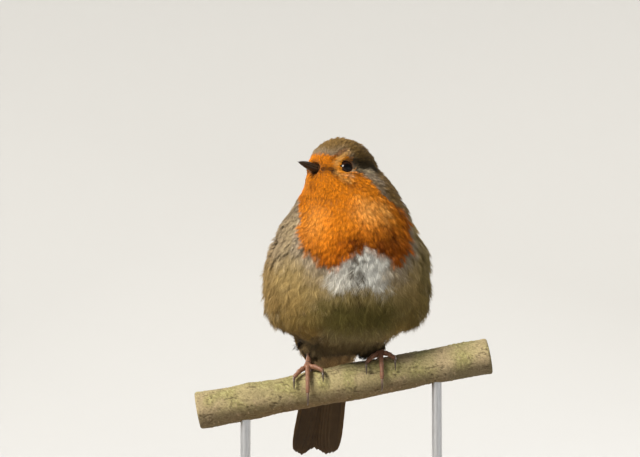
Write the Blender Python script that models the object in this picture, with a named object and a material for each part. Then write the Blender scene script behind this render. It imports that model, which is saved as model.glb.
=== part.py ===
"""European robin, life size, gripping a cut length of branch on a plain display stand.

Metres, +Z up. The origin is the middle of the stand's underside. The bird faces -Y, its left side is +X.
Sizes that belong to the bird are given in millimetres and turned into metres by MM.
"""

import math

import bmesh
import bpy
from mathutils import Matrix, Vector, bvhtree

MM = 0.001
GAP = 0.35  # mm left between solids that touch

# Stand and perch, mm
BASE_RADIUS = 54.0
BASE_THICKNESS = 9.0
BASE_CHAMFER = 1.2
ROD_RADIUS = 2.0
ROD_OFFSET = 38.0
PERCH_HEIGHT = 62.0
PERCH_RADIUS = 7.5
PERCH_LEFT_END = -58.0
PERCH_RIGHT_END = 60.0
PERCH_SLOPE = 10.7  # degrees, rising towards +X

# How the bird sits
BODY_TURN = 12.0  # degrees about Z, breast towards +X
BODY_SHIFT = 2.6  # mm towards +X
HEAD_TURN = -44.0  # degrees about Z, bill towards -X
HEAD_RAISE = 13.0  # degrees, bill up
HEAD_PLACE = (0.3, -8.0, 84.0)  # mm from the middle of the perch

# The fluffed-up body as level sections, mm from the middle of the perch, before BODY_TURN:
# height, half width, middle sideways, front, back
BODY_SECTIONS = (
    (12.4, 5.0, -3.5, -3.0, 14.0),
    (14.2, 12.5, -3.2, -10.0, 21.0),
    (18.0, 20.2, -2.4, -18.0, 27.5),
    (23.5, 28.6, -0.6, -24.0, 31.0),
    (31.0, 33.4, 0.0, -28.0, 33.0),
    (40.0, 34.0, 0.0, -30.2, 32.5),
    (48.0, 33.0, 0.0, -31.0, 30.5),
    (55.0, 31.2, 0.2, -30.4, 27.0),
    (62.0, 26.4, 0.6, -28.4, 23.0),
    (68.5, 22.6, 1.4, -25.8, 19.0),
    (75.0, 19.0, 1.1, -23.6, 16.0),
    (81.0, 16.6, -0.3, -20.5, 12.5),
    (86.0, 12.5, -0.8, -15.5, 8.5),
)
# Rounded masses that blend into it: middle, half-sizes in mm, and backward lean in degrees
BODY_MASSES = (
    ((0.0, 21.0, 25.0), (15.5, 13.0, 17.5), 30.0),  # rump
    ((-1.0, 24.0, 17.0), (9.6, 8.6, 15.0), 38.0),  # vent and undertail
    ((-9.0, -12.2, 74.0), (9.4, 10.0, 12.0), 0.0),  # throat, under the turned head
)
# The head's masses are measured from HEAD_PLACE, bill towards -Y, before the head is turned.
HEAD_MASSES = (
    ((0.0, 0.8, 0.8), (12.6, 14.0, 12.8), 0.0),  # cranium
    ((0.0, -7.4, -0.8), (8.4, 8.4, 9.0), 0.0),  # forehead
    ((0.0, -11.4, -2.8), (4.8, 5.4, 4.8), 0.0),  # lores
    ((5.6, -1.5, -6.0), (8.0, 9.8, 8.4), 0.0),  # left cheek
    ((-5.6, -1.5, -6.0), (8.0, 9.8, 8.4), 0.0),  # right cheek
    ((0.0, -7.4, -7.2), (7.4, 8.0, 7.0), 0.0),  # chin
    ((0.0, 6.5, -5.0), (11.4, 9.4, 11.0), 0.0),  # back of the head
)
BLEND_VOXEL = 1.6
BLEND_SMOOTHING = 11
HEAD_FLOOR = (Vector((0.0, 1.0, -10.5)), Vector((0.0, -0.36, 1.0)))  # cut between head and neck, head frame
NECK_FLOOR = (Vector((0.0, -2.0, 63.5)), Vector((0.0, -0.22, 1.0)))  # cut between neck and trunk, body frame
HEAD_DETAIL, NECK_DETAIL, TRUNK_DETAIL = 0.2, 0.17, 0.053  # share of the blended skin's faces that is kept

# Thighs: feathered cones round the shanks. Height above the foot's joint of the lower end, and radius there
THIGH_END = {"left": (3.9, 4.3), "right": (3.4, 1.9)}
THIGH_TOP = 17.0
THIGH_TOP_RADIUS = 7.2

# Eyes and bill, head frame
EYE_PLACE = (7.9, -6.4, -1.5)
EYE_RADIUS = 3.2
BILL_ROOT = -12.0
BILL_TIP = -25.0
BILL_LEVEL = -3.6
BILL_HALF_WIDTH = 2.6
BILL_UPPER_DEPTH = 2.2
BILL_LOWER_DEPTH = 1.9
BILL_HOOK = 0.5
LOWER_SHORTER = 0.6

# Wings, body frame, left wing: the middle line of the folded wing
WING_BEND = (20.0, 2.0, 62.0)
WING_BACK = (23.0, 21.5, 40.0)
WING_TIP = (4.6, 42.0, 4.5)
WING_HALF_WIDTH = 12.5
WING_PROUD = 0.9  # how far the wing stands out of the flank
WING_SUNK = 1.3  # how deep its inner face lies
BODY_AXIS = (Vector((0.0, 2.0, 66.0)), Vector((0.0, 26.0, 14.0)))

# Tail, body frame
TAIL_ROOT = (-1.4, 17.0, 24.0)
TAIL_TIP = (-1.0, 60.0, -29.5)
TAIL_ROOT_HALF_WIDTH = 6.6
TAIL_END_HALF_WIDTH = 10.8
TAIL_THICKNESS = 2.2
TAIL_NOTCH = 3.2
TAIL_BOW = 1.5

# Legs and toes. Angles go round the perch from its top, positive towards the front.
FEET_MIDDLE = 3.0  # mm along the perch
FOOT_SPREAD = 14.7  # mm along the perch from FEET_MIDDLE to each foot
ANKLE_IN = 2.4
ANKLE_BACK = 15.0
ANKLE_UP = 20.0
PALM_RADIUS = 1.5
SHANK_RADIUS = 1.0
TOE_RADIUS = 0.95
TOE_HANG = 1.6  # mm; toes and claws hang plumb, not square to the sloping perch
TOES = {  # last angle in degrees, splay along the perch in mm (outwards positive), claw length in mm
    "middle": (97.0, 0.2, 6.2),
    "inner": (46.0, -6.0, 5.0),
    "outer": (50.0, 5.6, 5.0),
    "hind": (-80.0, -1.2, 6.6),
}

COLOURS = {  # base colour, roughness, metallic
    "plumage_olive": ((0.20, 0.15, 0.08, 1.0), 0.85, 0.0),
    "plumage_orange": ((0.75, 0.24, 0.03, 1.0), 0.85, 0.0),
    "plumage_pale": ((0.55, 0.48, 0.36, 1.0), 0.85, 0.0),
    "flight_feather": ((0.13, 0.10, 0.07, 1.0), 0.7, 0.0),
    "bill": ((0.03, 0.022, 0.018, 1.0), 0.35, 0.0),
    "eye": ((0.012, 0.008, 0.006, 1.0), 0.08, 0.0),
    "leg": ((0.36, 0.16, 0.11, 1.0), 0.5, 0.0),
    "claw": ((0.10, 0.06, 0.045, 1.0), 0.35, 0.0),
    "bark": ((0.30, 0.25, 0.14, 1.0), 0.9, 0.0),
    "stand_wood": ((0.50, 0.36, 0.22, 1.0), 0.45, 0.0),
    "stand_metal": ((0.55, 0.55, 0.56, 1.0), 0.35, 1.0),
}

PERCH_MIDDLE = Vector((0.0, 0.0, PERCH_HEIGHT))
BODY_FRAME = (
    Matrix.Translation(PERCH_MIDDLE + Vector((BODY_SHIFT, 0.0, 0.0)))
    @ Matrix.Rotation(math.radians(BODY_TURN), 4, "Z")
)
HEAD_FRAME = (
    Matrix.Translation(PERCH_MIDDLE + Vector(HEAD_PLACE))
    @ Matrix.Rotation(math.radians(HEAD_TURN), 4, "Z")
    @ Matrix.Rotation(math.radians(-HEAD_RAISE), 4, "X")
)
PERCH_FRAME = Matrix.Translation(PERCH_MIDDLE) @ Matrix.Rotation(math.radians(-PERCH_SLOPE), 4, "Y")
SIDES = (("left", 1.0), ("right", -1.0))


# ---------------------------------------------------------------- helpers


def clear_scene():
    for old in list(bpy.data.objects):
        bpy.data.objects.remove(old)


def material(kind):
    found = bpy.data.materials.get(kind)
    if found:
        return found
    colour, roughness, metallic = COLOURS[kind]
    made = bpy.data.materials.new(kind)
    made.use_nodes = True
    shader = made.node_tree.nodes["Principled BSDF"]
    shader.inputs["Base Color"].default_value = colour
    shader.inputs["Roughness"].default_value = roughness
    shader.inputs["Metallic"].default_value = metallic
    made.diffuse_color = colour
    return made


def add_object(name, shape, kind=None):
    """One object from a bmesh given in millimetres."""
    bmesh.ops.recalc_face_normals(shape, faces=shape.faces)
    mesh = bpy.data.meshes.new(name)
    shape.to_mesh(mesh)
    shape.free()
    mesh.transform(Matrix.Scale(MM, 4))
    made = bpy.data.objects.new(name, mesh)
    bpy.context.scene.collection.objects.link(made)
    if kind:
        mesh.materials.append(material(kind))
    mesh.shade_smooth()
    return made


def apply_modifiers(thing):
    """Replaces the mesh by what its modifiers make of it."""
    graph = bpy.context.evaluated_depsgraph_get()
    made = bpy.data.meshes.new_from_object(thing.evaluated_get(graph))
    thing.modifiers.clear()
    thing.data = made
    return thing


def carve(thing, *tools):
    """Cuts the tools out of thing and deletes them."""
    for tool in tools:
        cut = thing.modifiers.new("carve", "BOOLEAN")
        cut.operation = "DIFFERENCE"
        cut.solver = "EXACT"
        cut.object = tool
        apply_modifiers(thing)
        bpy.data.objects.remove(tool)
    return thing


def thin_out(thing, share):
    fewer = thing.modifiers.new("thin_out", "DECIMATE")
    fewer.ratio = share
    return apply_modifiers(thing)


def ring_body(rings, first_point=None, last_point=None):
    """A closed skin over rings of equal count, its ends closed to a point or by a flat face."""
    shape = bmesh.new()
    loops = [[shape.verts.new(point) for point in ring] for ring in rings]
    count = len(loops[0])
    for low, high in zip(loops, loops[1:]):
        for i in range(count):
            j = (i + 1) % count
            shape.faces.new((low[i], low[j], high[j], high[i]))
    for loop, point in ((loops[0], first_point), (loops[-1], last_point)):
        if point is None:
            shape.faces.new(loop)
            continue
        end = shape.verts.new(point)
        for i in range(count):
            shape.faces.new((loop[i], loop[(i + 1) % count], end))
    return shape


def tube(points, radii, sides, flatten=1.0):
    """A round-ended tube along points, each ring square to the path."""
    side = None
    rings = []
    for i, point in enumerate(points):
        ahead = (points[min(i + 1, len(points) - 1)] - points[max(i - 1, 0)]).normalized()
        if side is None:
            side = ahead.orthogonal().normalized()
        side = (side - ahead * side.dot(ahead)).normalized()
        up = ahead.cross(side)
        turn = [2.0 * math.pi * k / sides for k in range(sides)]
        rings.append([
            point + (side * math.cos(a) + up * math.sin(a) * flatten) * radii[i] for a in turn
        ])
    start = points[0] + (points[0] - points[1]).normalized() * radii[0] * 0.4
    end = points[-1] + (points[-1] - points[-2]).normalized() * radii[-1] * 0.8
    return ring_body(rings, start, end)


def bezier(a, b, c, t):
    """Point at t on the curve from a to c that passes b half way."""
    handle = 2.0 * b - 0.5 * (a + c)
    return a * (1 - t) ** 2 + handle * 2 * t * (1 - t) + c * t * t


def mirrored(point, sign):
    return Vector((point[0] * sign, point[1], point[2]))


# ---------------------------------------------------------------- flesh and plumage


def add_masses(shape, masses, frame):
    for middle, half_sizes, lean in masses:
        place = (
            frame
            @ Matrix.Translation(middle)
            @ Matrix.Rotation(math.radians(lean), 4, "X")
            @ Matrix.Diagonal((*half_sizes, 1.0))
        )
        bmesh.ops.create_icosphere(shape, subdivisions=4, radius=1.0, matrix=place)


def between(rows, t):
    """A smooth reading of the table at t rows from its start."""
    i = min(int(t), len(rows) - 2)
    before, low, high, after = (rows[max(0, min(len(rows) - 1, i + k))] for k in (-1, 0, 1, 2))
    s = t - i
    return [
        0.5 * (2 * b + (c - a) * s + (2 * a - 5 * b + 4 * c - d) * s * s + (3 * b - a - 3 * c + d) * s**3)
        for a, b, c, d in zip(before, low, high, after)
    ]


def add_body(shape):
    """The body's sections as one closed loft."""
    stations, sides = 40, 48
    last = None
    for i in range(stations):
        height, half_width, sideways, front, back = between(BODY_SECTIONS, (len(BODY_SECTIONS) - 1) * i / (stations - 1))
        middle = Vector((sideways, (front + back) / 2, height))
        half_depth = (back - front) / 2
        turns = [2.0 * math.pi * k / sides for k in range(sides)]
        ring = [
            shape.verts.new(BODY_FRAME @ (middle + Vector((half_width * math.cos(a), half_depth * math.sin(a), 0.0))))
            for a in turns
        ]
        if last is None:
            shape.faces.new(list(reversed(ring)))
        else:
            for k in range(sides):
                j = (k + 1) % sides
                shape.faces.new((last[k], last[j], ring[j], ring[k]))
        last = ring
    shape.faces.new(last)


def make_whole_bird():
    """The masses of head, neck and body, blended into one closed skin."""
    shape = bmesh.new()
    add_body(shape)
    add_masses(shape, BODY_MASSES, BODY_FRAME)
    add_masses(shape, HEAD_MASSES, HEAD_FRAME)
    whole = add_object("whole_bird", shape)
    blend = whole.modifiers.new("blend", "REMESH")
    blend.mode = "VOXEL"
    blend.voxel_size = BLEND_VOXEL * MM
    soften = whole.modifiers.new("soften", "SMOOTH")
    soften.factor = 0.5
    soften.iterations = BLEND_SMOOTHING
    return apply_modifiers(whole)


def section(whole, name, kind, *planes):
    """The part of the whole on the inner side of each plane, closed flat where it was cut."""
    shape = bmesh.new()
    shape.from_mesh(whole.data)
    for point, inwards in planes:
        everything = shape.verts[:] + shape.edges[:] + shape.faces[:]
        cut = bmesh.ops.bisect_plane(
            shape, geom=everything, dist=1e-7, plane_co=point * MM, plane_no=inwards, clear_inner=True
        )
        edges = [item for item in cut["geom_cut"] if isinstance(item, bmesh.types.BMEdge)]
        bmesh.ops.edgeloop_fill(shape, edges=edges)
    bmesh.ops.scale(shape, vec=(1 / MM,) * 3, verts=shape.verts)
    bmesh.ops.remove_doubles(shape, verts=shape.verts, dist=0.02)
    return add_object(name, shape, kind)


def plane_in(frame, plane, side):
    """A cutting plane of that frame, moved half a gap to one side and facing it."""
    point, normal = plane
    facing = (frame.to_3x3() @ normal).normalized() * side
    return frame @ point + facing * GAP * 0.5, facing


def thigh(name, side, sign, grow=0.0):
    """The feathered leg: a cone that widens up into the belly."""
    end_height, end_radius = THIGH_END[side]
    foot = foot_joint(sign)
    rise = (ankle_place(sign) - foot).normalized()
    lower = foot + Vector((0.0, 1.0, end_height - grow))
    upper = foot + rise * THIGH_TOP
    knee = (lower + upper) / 2 + Vector((0.0, -1.4, 1.0))
    points, radii = [], []
    for i in range(7):
        s = i / 6
        points.append(bezier(lower, knee, upper, s))
        radii.append(end_radius + (THIGH_TOP_RADIUS - end_radius) * s**1.4 + grow)
    return add_object(name, tube(points, radii, 12), "plumage_pale")


# ---------------------------------------------------------------- eyes and bill


def eye(name, sign, grow=0.0):
    shape = bmesh.new()
    place = HEAD_FRAME @ Matrix.Translation(mirrored(EYE_PLACE, sign))
    bmesh.ops.create_icosphere(shape, subdivisions=3, radius=EYE_RADIUS + grow, matrix=place)
    return add_object(name, shape, "eye")


def mandible(name, side, grow=0.0):
    """One half of the bill: side 1 is the upper half, -1 the lower. Its flat face is the cutting edge."""
    depth = BILL_UPPER_DEPTH if side > 0 else BILL_LOWER_DEPTH
    tip = BILL_TIP if side > 0 else BILL_TIP + LOWER_SHORTER
    sides, stations = 10, 9
    rings = []
    for i in range(stations):
        along = i / stations
        taper = (1.0 - along) ** 0.62
        droop = -BILL_HOOK * along**5 * (1.0 if side > 0 else 0.4)
        edge = BILL_LEVEL + side * (GAP * 0.5 - grow) + droop
        middle = Vector((0.0, BILL_ROOT + (tip - BILL_ROOT) * along, edge))
        half_width = BILL_HALF_WIDTH * taper + grow
        height = depth * (0.22 + 0.78 * taper) * (1.0 - along**6) + grow * 2.0
        turn = [math.pi * k / (sides - 1) for k in range(sides)]
        ring = [
            middle + Vector((half_width * math.cos(a), 0.0, side * height * math.sin(a) ** 0.85))
            for a in turn
        ]
        rings.append([HEAD_FRAME @ point for point in ring])
    end_drop = BILL_HOOK * (1.0 if side > 0 else 0.4)
    end = Vector((0.0, tip - grow, BILL_LEVEL + side * 0.25 - end_drop))
    return add_object(name, ring_body(rings, None, HEAD_FRAME @ end), "bill")


def bill_cutter():
    """The space that both halves of the bill take in the head, with the gap round them."""
    shape = bmesh.new()
    length = BILL_ROOT - BILL_TIP + 2.0 * GAP
    place = (
        HEAD_FRAME
        @ Matrix.Translation((0.0, BILL_ROOT + GAP - length * 0.5, BILL_LEVEL + 0.12))
        @ Matrix.Diagonal((1.0, 1.0, 0.92, 1.0))
        @ Matrix.Rotation(math.radians(90.0), 4, "X")
    )
    bmesh.ops.create_cone(
        shape, cap_ends=True, segments=20, radius1=BILL_HALF_WIDTH + GAP, radius2=BILL_HALF_WIDTH * 0.7,
        depth=length, matrix=place,
    )
    return add_object("bill_cutter", shape)


# ---------------------------------------------------------------- wings and tail


def nearest_on_axis(point):
    start, end = BODY_AXIS
    run = end - start
    share = max(0.0, min(1.0, (point - start).dot(run) / run.length_squared))
    return start + run * share


def wing(name, sign, body, grow=0.0):
    """A folded wing: a curved blade on the flank, from the bend to the primaries' tips.

    It follows the body's skin, and leaves it where its own middle line runs clear of the rump.
    """
    bend, back, tip = (Vector(place) for place in (WING_BEND, WING_BACK, WING_TIP))
    stations, across = 13, 6
    rings = []
    for i in range(stations):
        s = (i + 0.35) / (stations - 0.3)
        middle = bezier(bend, back, tip, s)
        ahead = (bezier(bend, back, tip, s + 0.02) - bezier(bend, back, tip, s - 0.02)).normalized()
        outward = middle - nearest_on_axis(middle)
        outward = (outward - ahead * outward.dot(ahead)).normalized()
        up = outward.cross(ahead).normalized()
        half_width = WING_HALF_WIDTH * math.sin(math.pi * s**0.62) ** 0.62 * (1.0 - 0.56 * s) + grow
        proud = WING_PROUD + grow * 1.6
        sunk = (WING_SUNK - 0.5 * s) + grow * 1.6
        ring = []
        for k in range(2 * across):
            a = math.pi * k / across
            guide = middle + up * half_width * math.cos(a)
            axis = nearest_on_axis(guide)
            away = (guide - axis).normalized()
            reach = max(skin_reach(body, axis, away), (guide - axis).length * min(1.0, max(0.0, 2.5 * s - 1.0)))
            height = math.sin(a)
            reach += proud * height if height > 0 else sunk * height
            ring.append(axis + away * reach)
        rings.append([BODY_FRAME @ mirrored(point, sign) for point in ring])
    first = sum(rings[0], Vector()) / (2 * across)
    first = first + (first - sum(rings[1], Vector()) / (2 * across)).normalized() * (0.8 + grow)
    last = BODY_FRAME @ mirrored(bezier(bend, back, tip, 1.0), sign)
    last += (last - sum(rings[-1], Vector()) / (2 * across)).normalized() * grow
    return add_object(name, ring_body(rings, first, last), "flight_feather")


def skin_reach(body, start, away):
    """How far the body's skin is from a point inside it, in the body frame and mm."""
    world_start = BODY_FRAME @ start * MM
    hit = body.ray_cast(world_start, (BODY_FRAME.to_3x3() @ away).normalized())
    return 0.0 if hit[0] is None else hit[3] / MM


def tail(name, grow=0.0):
    """A closed tail: a slab that widens to a shallow notch between two rounded ends."""
    root, tip = Vector(TAIL_ROOT), Vector(TAIL_TIP)
    ahead = (tip - root).normalized()
    length = (tip - root).length
    outward = Vector((0.0, -ahead.z, ahead.y)).normalized()
    if outward.y < 0:
        outward.negate()
    stations, across = 8, 12
    rings = []
    for i in range(stations):
        s = i / (stations - 1)
        half_width = TAIL_ROOT_HALF_WIDTH + (TAIL_END_HALF_WIDTH - TAIL_ROOT_HALF_WIDTH) * s**0.9 + grow
        half_thickness = TAIL_THICKNESS * 0.5 * (1.0 - 0.55 * s) + grow
        upper, lower = [], []
        for k in range(across + 1):
            t = -1.0 + 2.0 * k / across
            round_end = (abs(t) - 0.5) ** 2 * 4.0
            reach = -grow if i == 0 else (length + grow) * s - TAIL_NOTCH * 1.4 * round_end * s**6
            bow = TAIL_BOW * (1.0 - t * t) * (0.4 + 0.6 * s)
            point = root + ahead * reach + Vector((half_width * t, 0.0, 0.0)) + outward * bow
            rim = math.sqrt(max(0.0, 1.0 - abs(t) ** 6)) * 0.75 + 0.25
            upper.append(point + outward * half_thickness * rim)
            lower.append(point - outward * half_thickness * rim)
        rings.append([BODY_FRAME @ point for point in upper + lower[::-1]])
    return add_object(name, ring_body(rings), "flight_feather")


# ---------------------------------------------------------------- legs


def on_perch(angle, along, lift):
    """A point round the perch, in the shared frame: angle from the top towards the front, lift off its surface."""
    a = math.radians(angle)
    reach = PERCH_RADIUS + lift
    return PERCH_FRAME @ Vector((along, -reach * math.sin(a), reach * math.cos(a)))


def foot_place(sign):
    return FEET_MIDDLE + FOOT_SPREAD * sign


def foot_joint(sign):
    return on_perch(2.0, foot_place(sign), PALM_RADIUS + 0.6)


def ankle_place(sign):
    return foot_joint(sign) + Vector((-ANKLE_IN * sign, ANKLE_BACK, ANKLE_UP))


def shank(name, sign, grow=0.0):
    """The bare shank from the ankle, inside the belly feathers, down to the toes."""
    foot, ankle = foot_joint(sign), ankle_place(sign)
    start = foot + (ankle - foot).normalized() * (PALM_RADIUS + GAP + SHANK_RADIUS * 0.6)
    count = 8
    points = [start.lerp(ankle, i / (count - 1)) for i in range(count)]
    radii = []
    for i in range(count):
        s = i / (count - 1)
        joint = 0.35 * math.exp(-((s / 0.12) ** 2)) + 0.5 * math.exp(-(((1.0 - s) / 0.12) ** 2))
        radii.append(SHANK_RADIUS * (1.0 + joint) + grow)
    return add_object(name, tube(points, radii, 10), "leg")


def hang(angle):
    return TOE_HANG * (1.0 - math.cos(math.radians(angle)))


def toe_line(toe, sign, count):
    """Points from the foot joint out along the toe, and on round the perch."""
    last_angle, splay, _ = TOES[toe]
    first_angle = math.copysign(14.0, last_angle)
    points = [foot_joint(sign)]
    for i in range(1, count):
        s = i / (count - 1)
        angle = first_angle + (last_angle - first_angle) * s
        spread = splay * s**0.85
        lift = TOE_RADIUS + GAP + 0.15 + 0.35 * math.sin(math.pi * s) ** 2 + 0.5 * (1.0 - s) ** 4
        points.append(on_perch(angle, foot_place(sign) + spread * sign - hang(angle), lift))
    return points


def toe_body(toe, sign):
    """A toe with a pad at each joint. The hind toe has one joint, the inner two, the middle and outer three."""
    joints = {"hind": 1, "inner": 2, "middle": 3, "outer": 3}[toe]
    count = 8
    points = toe_line(toe, sign, count)
    radii = []
    for i in range(count):
        s = i / (count - 1)
        pad = 0.09 * math.cos(2.0 * math.pi * s * (joints + 0.5))
        radii.append(TOE_RADIUS * (1.0 - 0.24 * s) * (1.0 + pad))
    return add_object(f"toe_{toe}", tube(points, radii, 6), "leg")


def foot(name, sign):
    """The ball of the foot with its four toes, as one solid."""
    shape = bmesh.new()
    place = Matrix.Translation(foot_joint(sign))
    bmesh.ops.create_icosphere(shape, subdivisions=2, radius=PALM_RADIUS, matrix=place)
    made = add_object(name, shape, "leg")
    for toe in TOES:
        part = toe_body(toe, sign)
        join = made.modifiers.new("join", "BOOLEAN")
        join.operation = "UNION"
        join.solver = "EXACT"
        join.object = part
        apply_modifiers(made)
        bpy.data.objects.remove(part)
    return made


def claw_body(name, toe, sign, grow=0.0):
    """A curved claw that starts in the toe's end and closes on the bark."""
    last_angle, splay, length = TOES[toe]
    facing = math.copysign(1.0, last_angle)
    count = 6
    start_angle = last_angle + facing * 2.0
    end_angle = start_angle + facing * math.degrees(length / (PERCH_RADIUS + 1.6))
    points, radii = [], []
    for i in range(count):
        s = i / (count - 1)
        angle = start_angle + (end_angle - start_angle) * s
        arch = 0.9 * math.sin(math.pi * s**0.8)
        lift = (TOE_RADIUS * 1.1 + GAP) * (1.0 - s) + 0.6 * s + arch
        points.append(on_perch(angle, foot_place(sign) + splay * sign - hang(angle), lift))
        radii.append(0.52 * (1.0 - s) ** 0.75 + 0.1 + grow)
    return add_object(name, tube(points, radii, 6), "claw")


# ---------------------------------------------------------------- perch and stand


def perch_radius(along, angle):
    """The branch's radius: a slow swell, a twist of low ridges and two old leaf scars."""
    swell = 0.22 * math.sin(along * 0.11 + 0.6) + 0.12 * math.sin(along * 0.31)
    ridge = 0.14 * math.sin(3.0 * angle + along * 0.05) + 0.09 * math.sin(5.0 * angle - along * 0.12)
    scar = 0.0
    for place, turn in ((-37.0, 0.7), (41.0, 2.4)):
        away = (math.cos(angle - turn) - 1.0) * 6.0 - ((along - place) / 3.4) ** 2
        scar += 0.9 * math.exp(away)
    return PERCH_RADIUS - 0.45 + swell + ridge + scar


def perch(name):
    stations, sides = 21, 12
    rings = []
    for i in range(stations):
        along = PERCH_LEFT_END + (PERCH_RIGHT_END - PERCH_LEFT_END) * i / (stations - 1)
        ring = []
        for k in range(sides):
            a = 2.0 * math.pi * k / sides
            r = perch_radius(along, a)
            ring.append(PERCH_FRAME @ Vector((along, -r * math.sin(a), r * math.cos(a))))
        rings.append(ring)
    return add_object(name, ring_body(rings), "bark")


def stand_rod(name, x, grow=0.0):
    """An upright rod, from the base up into a short blind hole in the perch."""
    bottom = BASE_THICKNESS + (GAP if grow == 0.0 else -1.0)
    middle_of_perch = PERCH_HEIGHT + x * math.tan(math.radians(PERCH_SLOPE))
    top = middle_of_perch - PERCH_RADIUS * 0.55 + grow
    shape = bmesh.new()
    bmesh.ops.create_cone(
        shape, cap_ends=True, segments=20, radius1=ROD_RADIUS + grow, radius2=ROD_RADIUS + grow,
        depth=top - bottom, matrix=Matrix.Translation((x, 0.0, (top + bottom) * 0.5)),
    )
    return add_object(name, shape, "stand_metal")


def stand_base(name):
    profile = (
        (0.0, 0.0), (BASE_RADIUS - BASE_CHAMFER * 0.5, 0.0), (BASE_RADIUS, BASE_CHAMFER * 0.5),
        (BASE_RADIUS, BASE_THICKNESS - BASE_CHAMFER), (BASE_RADIUS - BASE_CHAMFER, BASE_THICKNESS),
        (0.0, BASE_THICKNESS),
    )
    sides = 36
    rings = []
    for radius, height in profile[1:-1]:
        turn = [2.0 * math.pi * k / sides for k in range(sides)]
        rings.append([Vector((radius * math.cos(a), radius * math.sin(a), height)) for a in turn])
    made = add_object(name, ring_body(rings), "stand_wood")
    made.data.set_sharp_from_angle(angle=math.radians(35))
    return made


# ---------------------------------------------------------------- the object


def make_bird():
    whole = make_whole_bird()
    body = bvhtree.BVHTree.FromObject(whole, bpy.context.evaluated_depsgraph_get())
    head = section(whole, "head", "plumage_orange", plane_in(HEAD_FRAME, HEAD_FLOOR, 1.0))
    neck = section(
        whole, "neck", "plumage_orange",
        plane_in(HEAD_FRAME, HEAD_FLOOR, -1.0), plane_in(BODY_FRAME, NECK_FLOOR, 1.0),
    )
    trunk = section(whole, "trunk", "plumage_pale", plane_in(BODY_FRAME, NECK_FLOOR, -1.0))
    bpy.data.objects.remove(whole)
    thin_out(head, HEAD_DETAIL)
    thin_out(neck, NECK_DETAIL)
    thin_out(trunk, TRUNK_DETAIL)

    carve(head, bill_cutter(), *[eye("eye_cutter", sign, GAP) for _, sign in SIDES])
    mandible("bill_upper", 1.0)
    mandible("bill_lower", -1.0)
    for side, sign in SIDES:
        eye(f"eye_{side}", sign)
        made_thigh = thigh(f"thigh_{side}", side, sign)
        carve(trunk, thigh("thigh_cutter", side, sign, GAP), shank("shank_cutter", sign, GAP))
        carve(made_thigh, shank("shank_cutter", sign, GAP))
        shank(f"shank_{side}", sign)
        carve(trunk, wing("wing_cutter", sign, body, GAP))
        carve(neck, wing("wing_cutter", sign, body, GAP))
        wing(f"wing_{side}", sign, body)
        made_foot = foot(f"foot_{side}", sign)
        for toe in TOES:
            carve(made_foot, claw_body("claw_cutter", toe, sign, GAP))
            claw_body(f"claw_{side}_{toe}", toe, sign)
    carve(trunk, tail("tail_cutter", GAP))
    tail("tail")


def make_stand():
    made_perch = perch("perch")
    stand_base("stand_base")
    for side, sign in SIDES:
        carve(made_perch, stand_rod("rod_cutter", ROD_OFFSET * sign, GAP))
        stand_rod(f"stand_rod_{side}", ROD_OFFSET * sign)


clear_scene()
make_bird()
make_stand()
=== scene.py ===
import math
import random

import bmesh
import bpy
import numpy as np
from mathutils import Matrix, Vector, noise
from mathutils.bvhtree import BVHTree


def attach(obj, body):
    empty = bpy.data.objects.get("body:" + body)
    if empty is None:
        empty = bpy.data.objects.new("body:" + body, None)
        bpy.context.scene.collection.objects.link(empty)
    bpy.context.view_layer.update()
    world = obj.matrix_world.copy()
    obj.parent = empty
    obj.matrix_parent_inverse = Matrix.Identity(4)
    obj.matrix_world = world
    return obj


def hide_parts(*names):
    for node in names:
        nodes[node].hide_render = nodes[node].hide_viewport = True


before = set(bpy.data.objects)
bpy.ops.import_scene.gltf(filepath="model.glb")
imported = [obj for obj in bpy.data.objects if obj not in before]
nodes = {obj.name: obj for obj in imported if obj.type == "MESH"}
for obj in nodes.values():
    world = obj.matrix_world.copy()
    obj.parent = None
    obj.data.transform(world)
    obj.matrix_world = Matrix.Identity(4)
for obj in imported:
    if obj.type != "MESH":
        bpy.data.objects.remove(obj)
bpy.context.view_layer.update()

scene = bpy.context.scene
mm = 0.001
farOff = -99.0  # mm, stands for nowhere near
sides = (("left", 1.0), ("right", -1.0))

# where the bird sits, as in the part's source: on the perch's middle, body turned, head turned and raised
perchMiddle = Vector((0.0, 0.0, 62.0)) * mm
perchSlope = math.radians(10.7)


def placed(shift, turn, axis="Z"):
    middle = perchMiddle + Vector(shift) * mm
    return Matrix.Translation(middle) @ Matrix.Rotation(math.radians(turn), 4, axis)


bodyFrame = placed((2.6, 0.0, 0.0), 12.0)
headFrame = placed((0.3, -8.0, 84.0), -44.0) @ Matrix.Rotation(math.radians(-13.0), 4, "X")
perchFrame = Matrix.Translation(perchMiddle) @ Matrix.Rotation(-perchSlope, 4, "Y")


# numbers and frames

def step(low, high, x):
    # 0 before low, 1 past high, smooth between; it falls where low is the larger
    t = np.clip((np.asarray(x, float) - low) / (high - low), 0.0, 1.0)
    return t * t * (3.0 - 2.0 * t)


def band(x, start, full, fade, end):
    # rises from start to full, falls from fade to end
    return step(start, full, x) * step(end, fade, x)


def bell(x, middle, width, power=2):
    return np.exp(-(((x - middle) / width) ** power))


def unit(vectors):
    return vectors / np.maximum(np.linalg.norm(vectors, axis=-1, keepdims=True), 1e-9)


def into(matrix, points):
    # points in metres into a frame, in millimetres
    inverse = np.array(matrix.inverted())
    return (points @ inverse[:3, :3].T + inverse[:3, 3]) * 1000.0


def outOf(matrix, points):
    # points of a frame, in millimetres, into metres in the shared frame
    whole = np.array(matrix)
    return np.asarray(points, float) * mm @ whole[:3, :3].T + whole[:3, 3]


def turned(matrix, vectors):
    return vectors @ np.array(matrix.to_3x3()).T


def ripple(points, size, seed):
    # smooth noise, about -1 to 1, at each point
    shift = Vector((seed, seed * 1.7, -seed))
    return np.array([noise.noise(Vector(p) / size + shift) for p in points])


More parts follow.
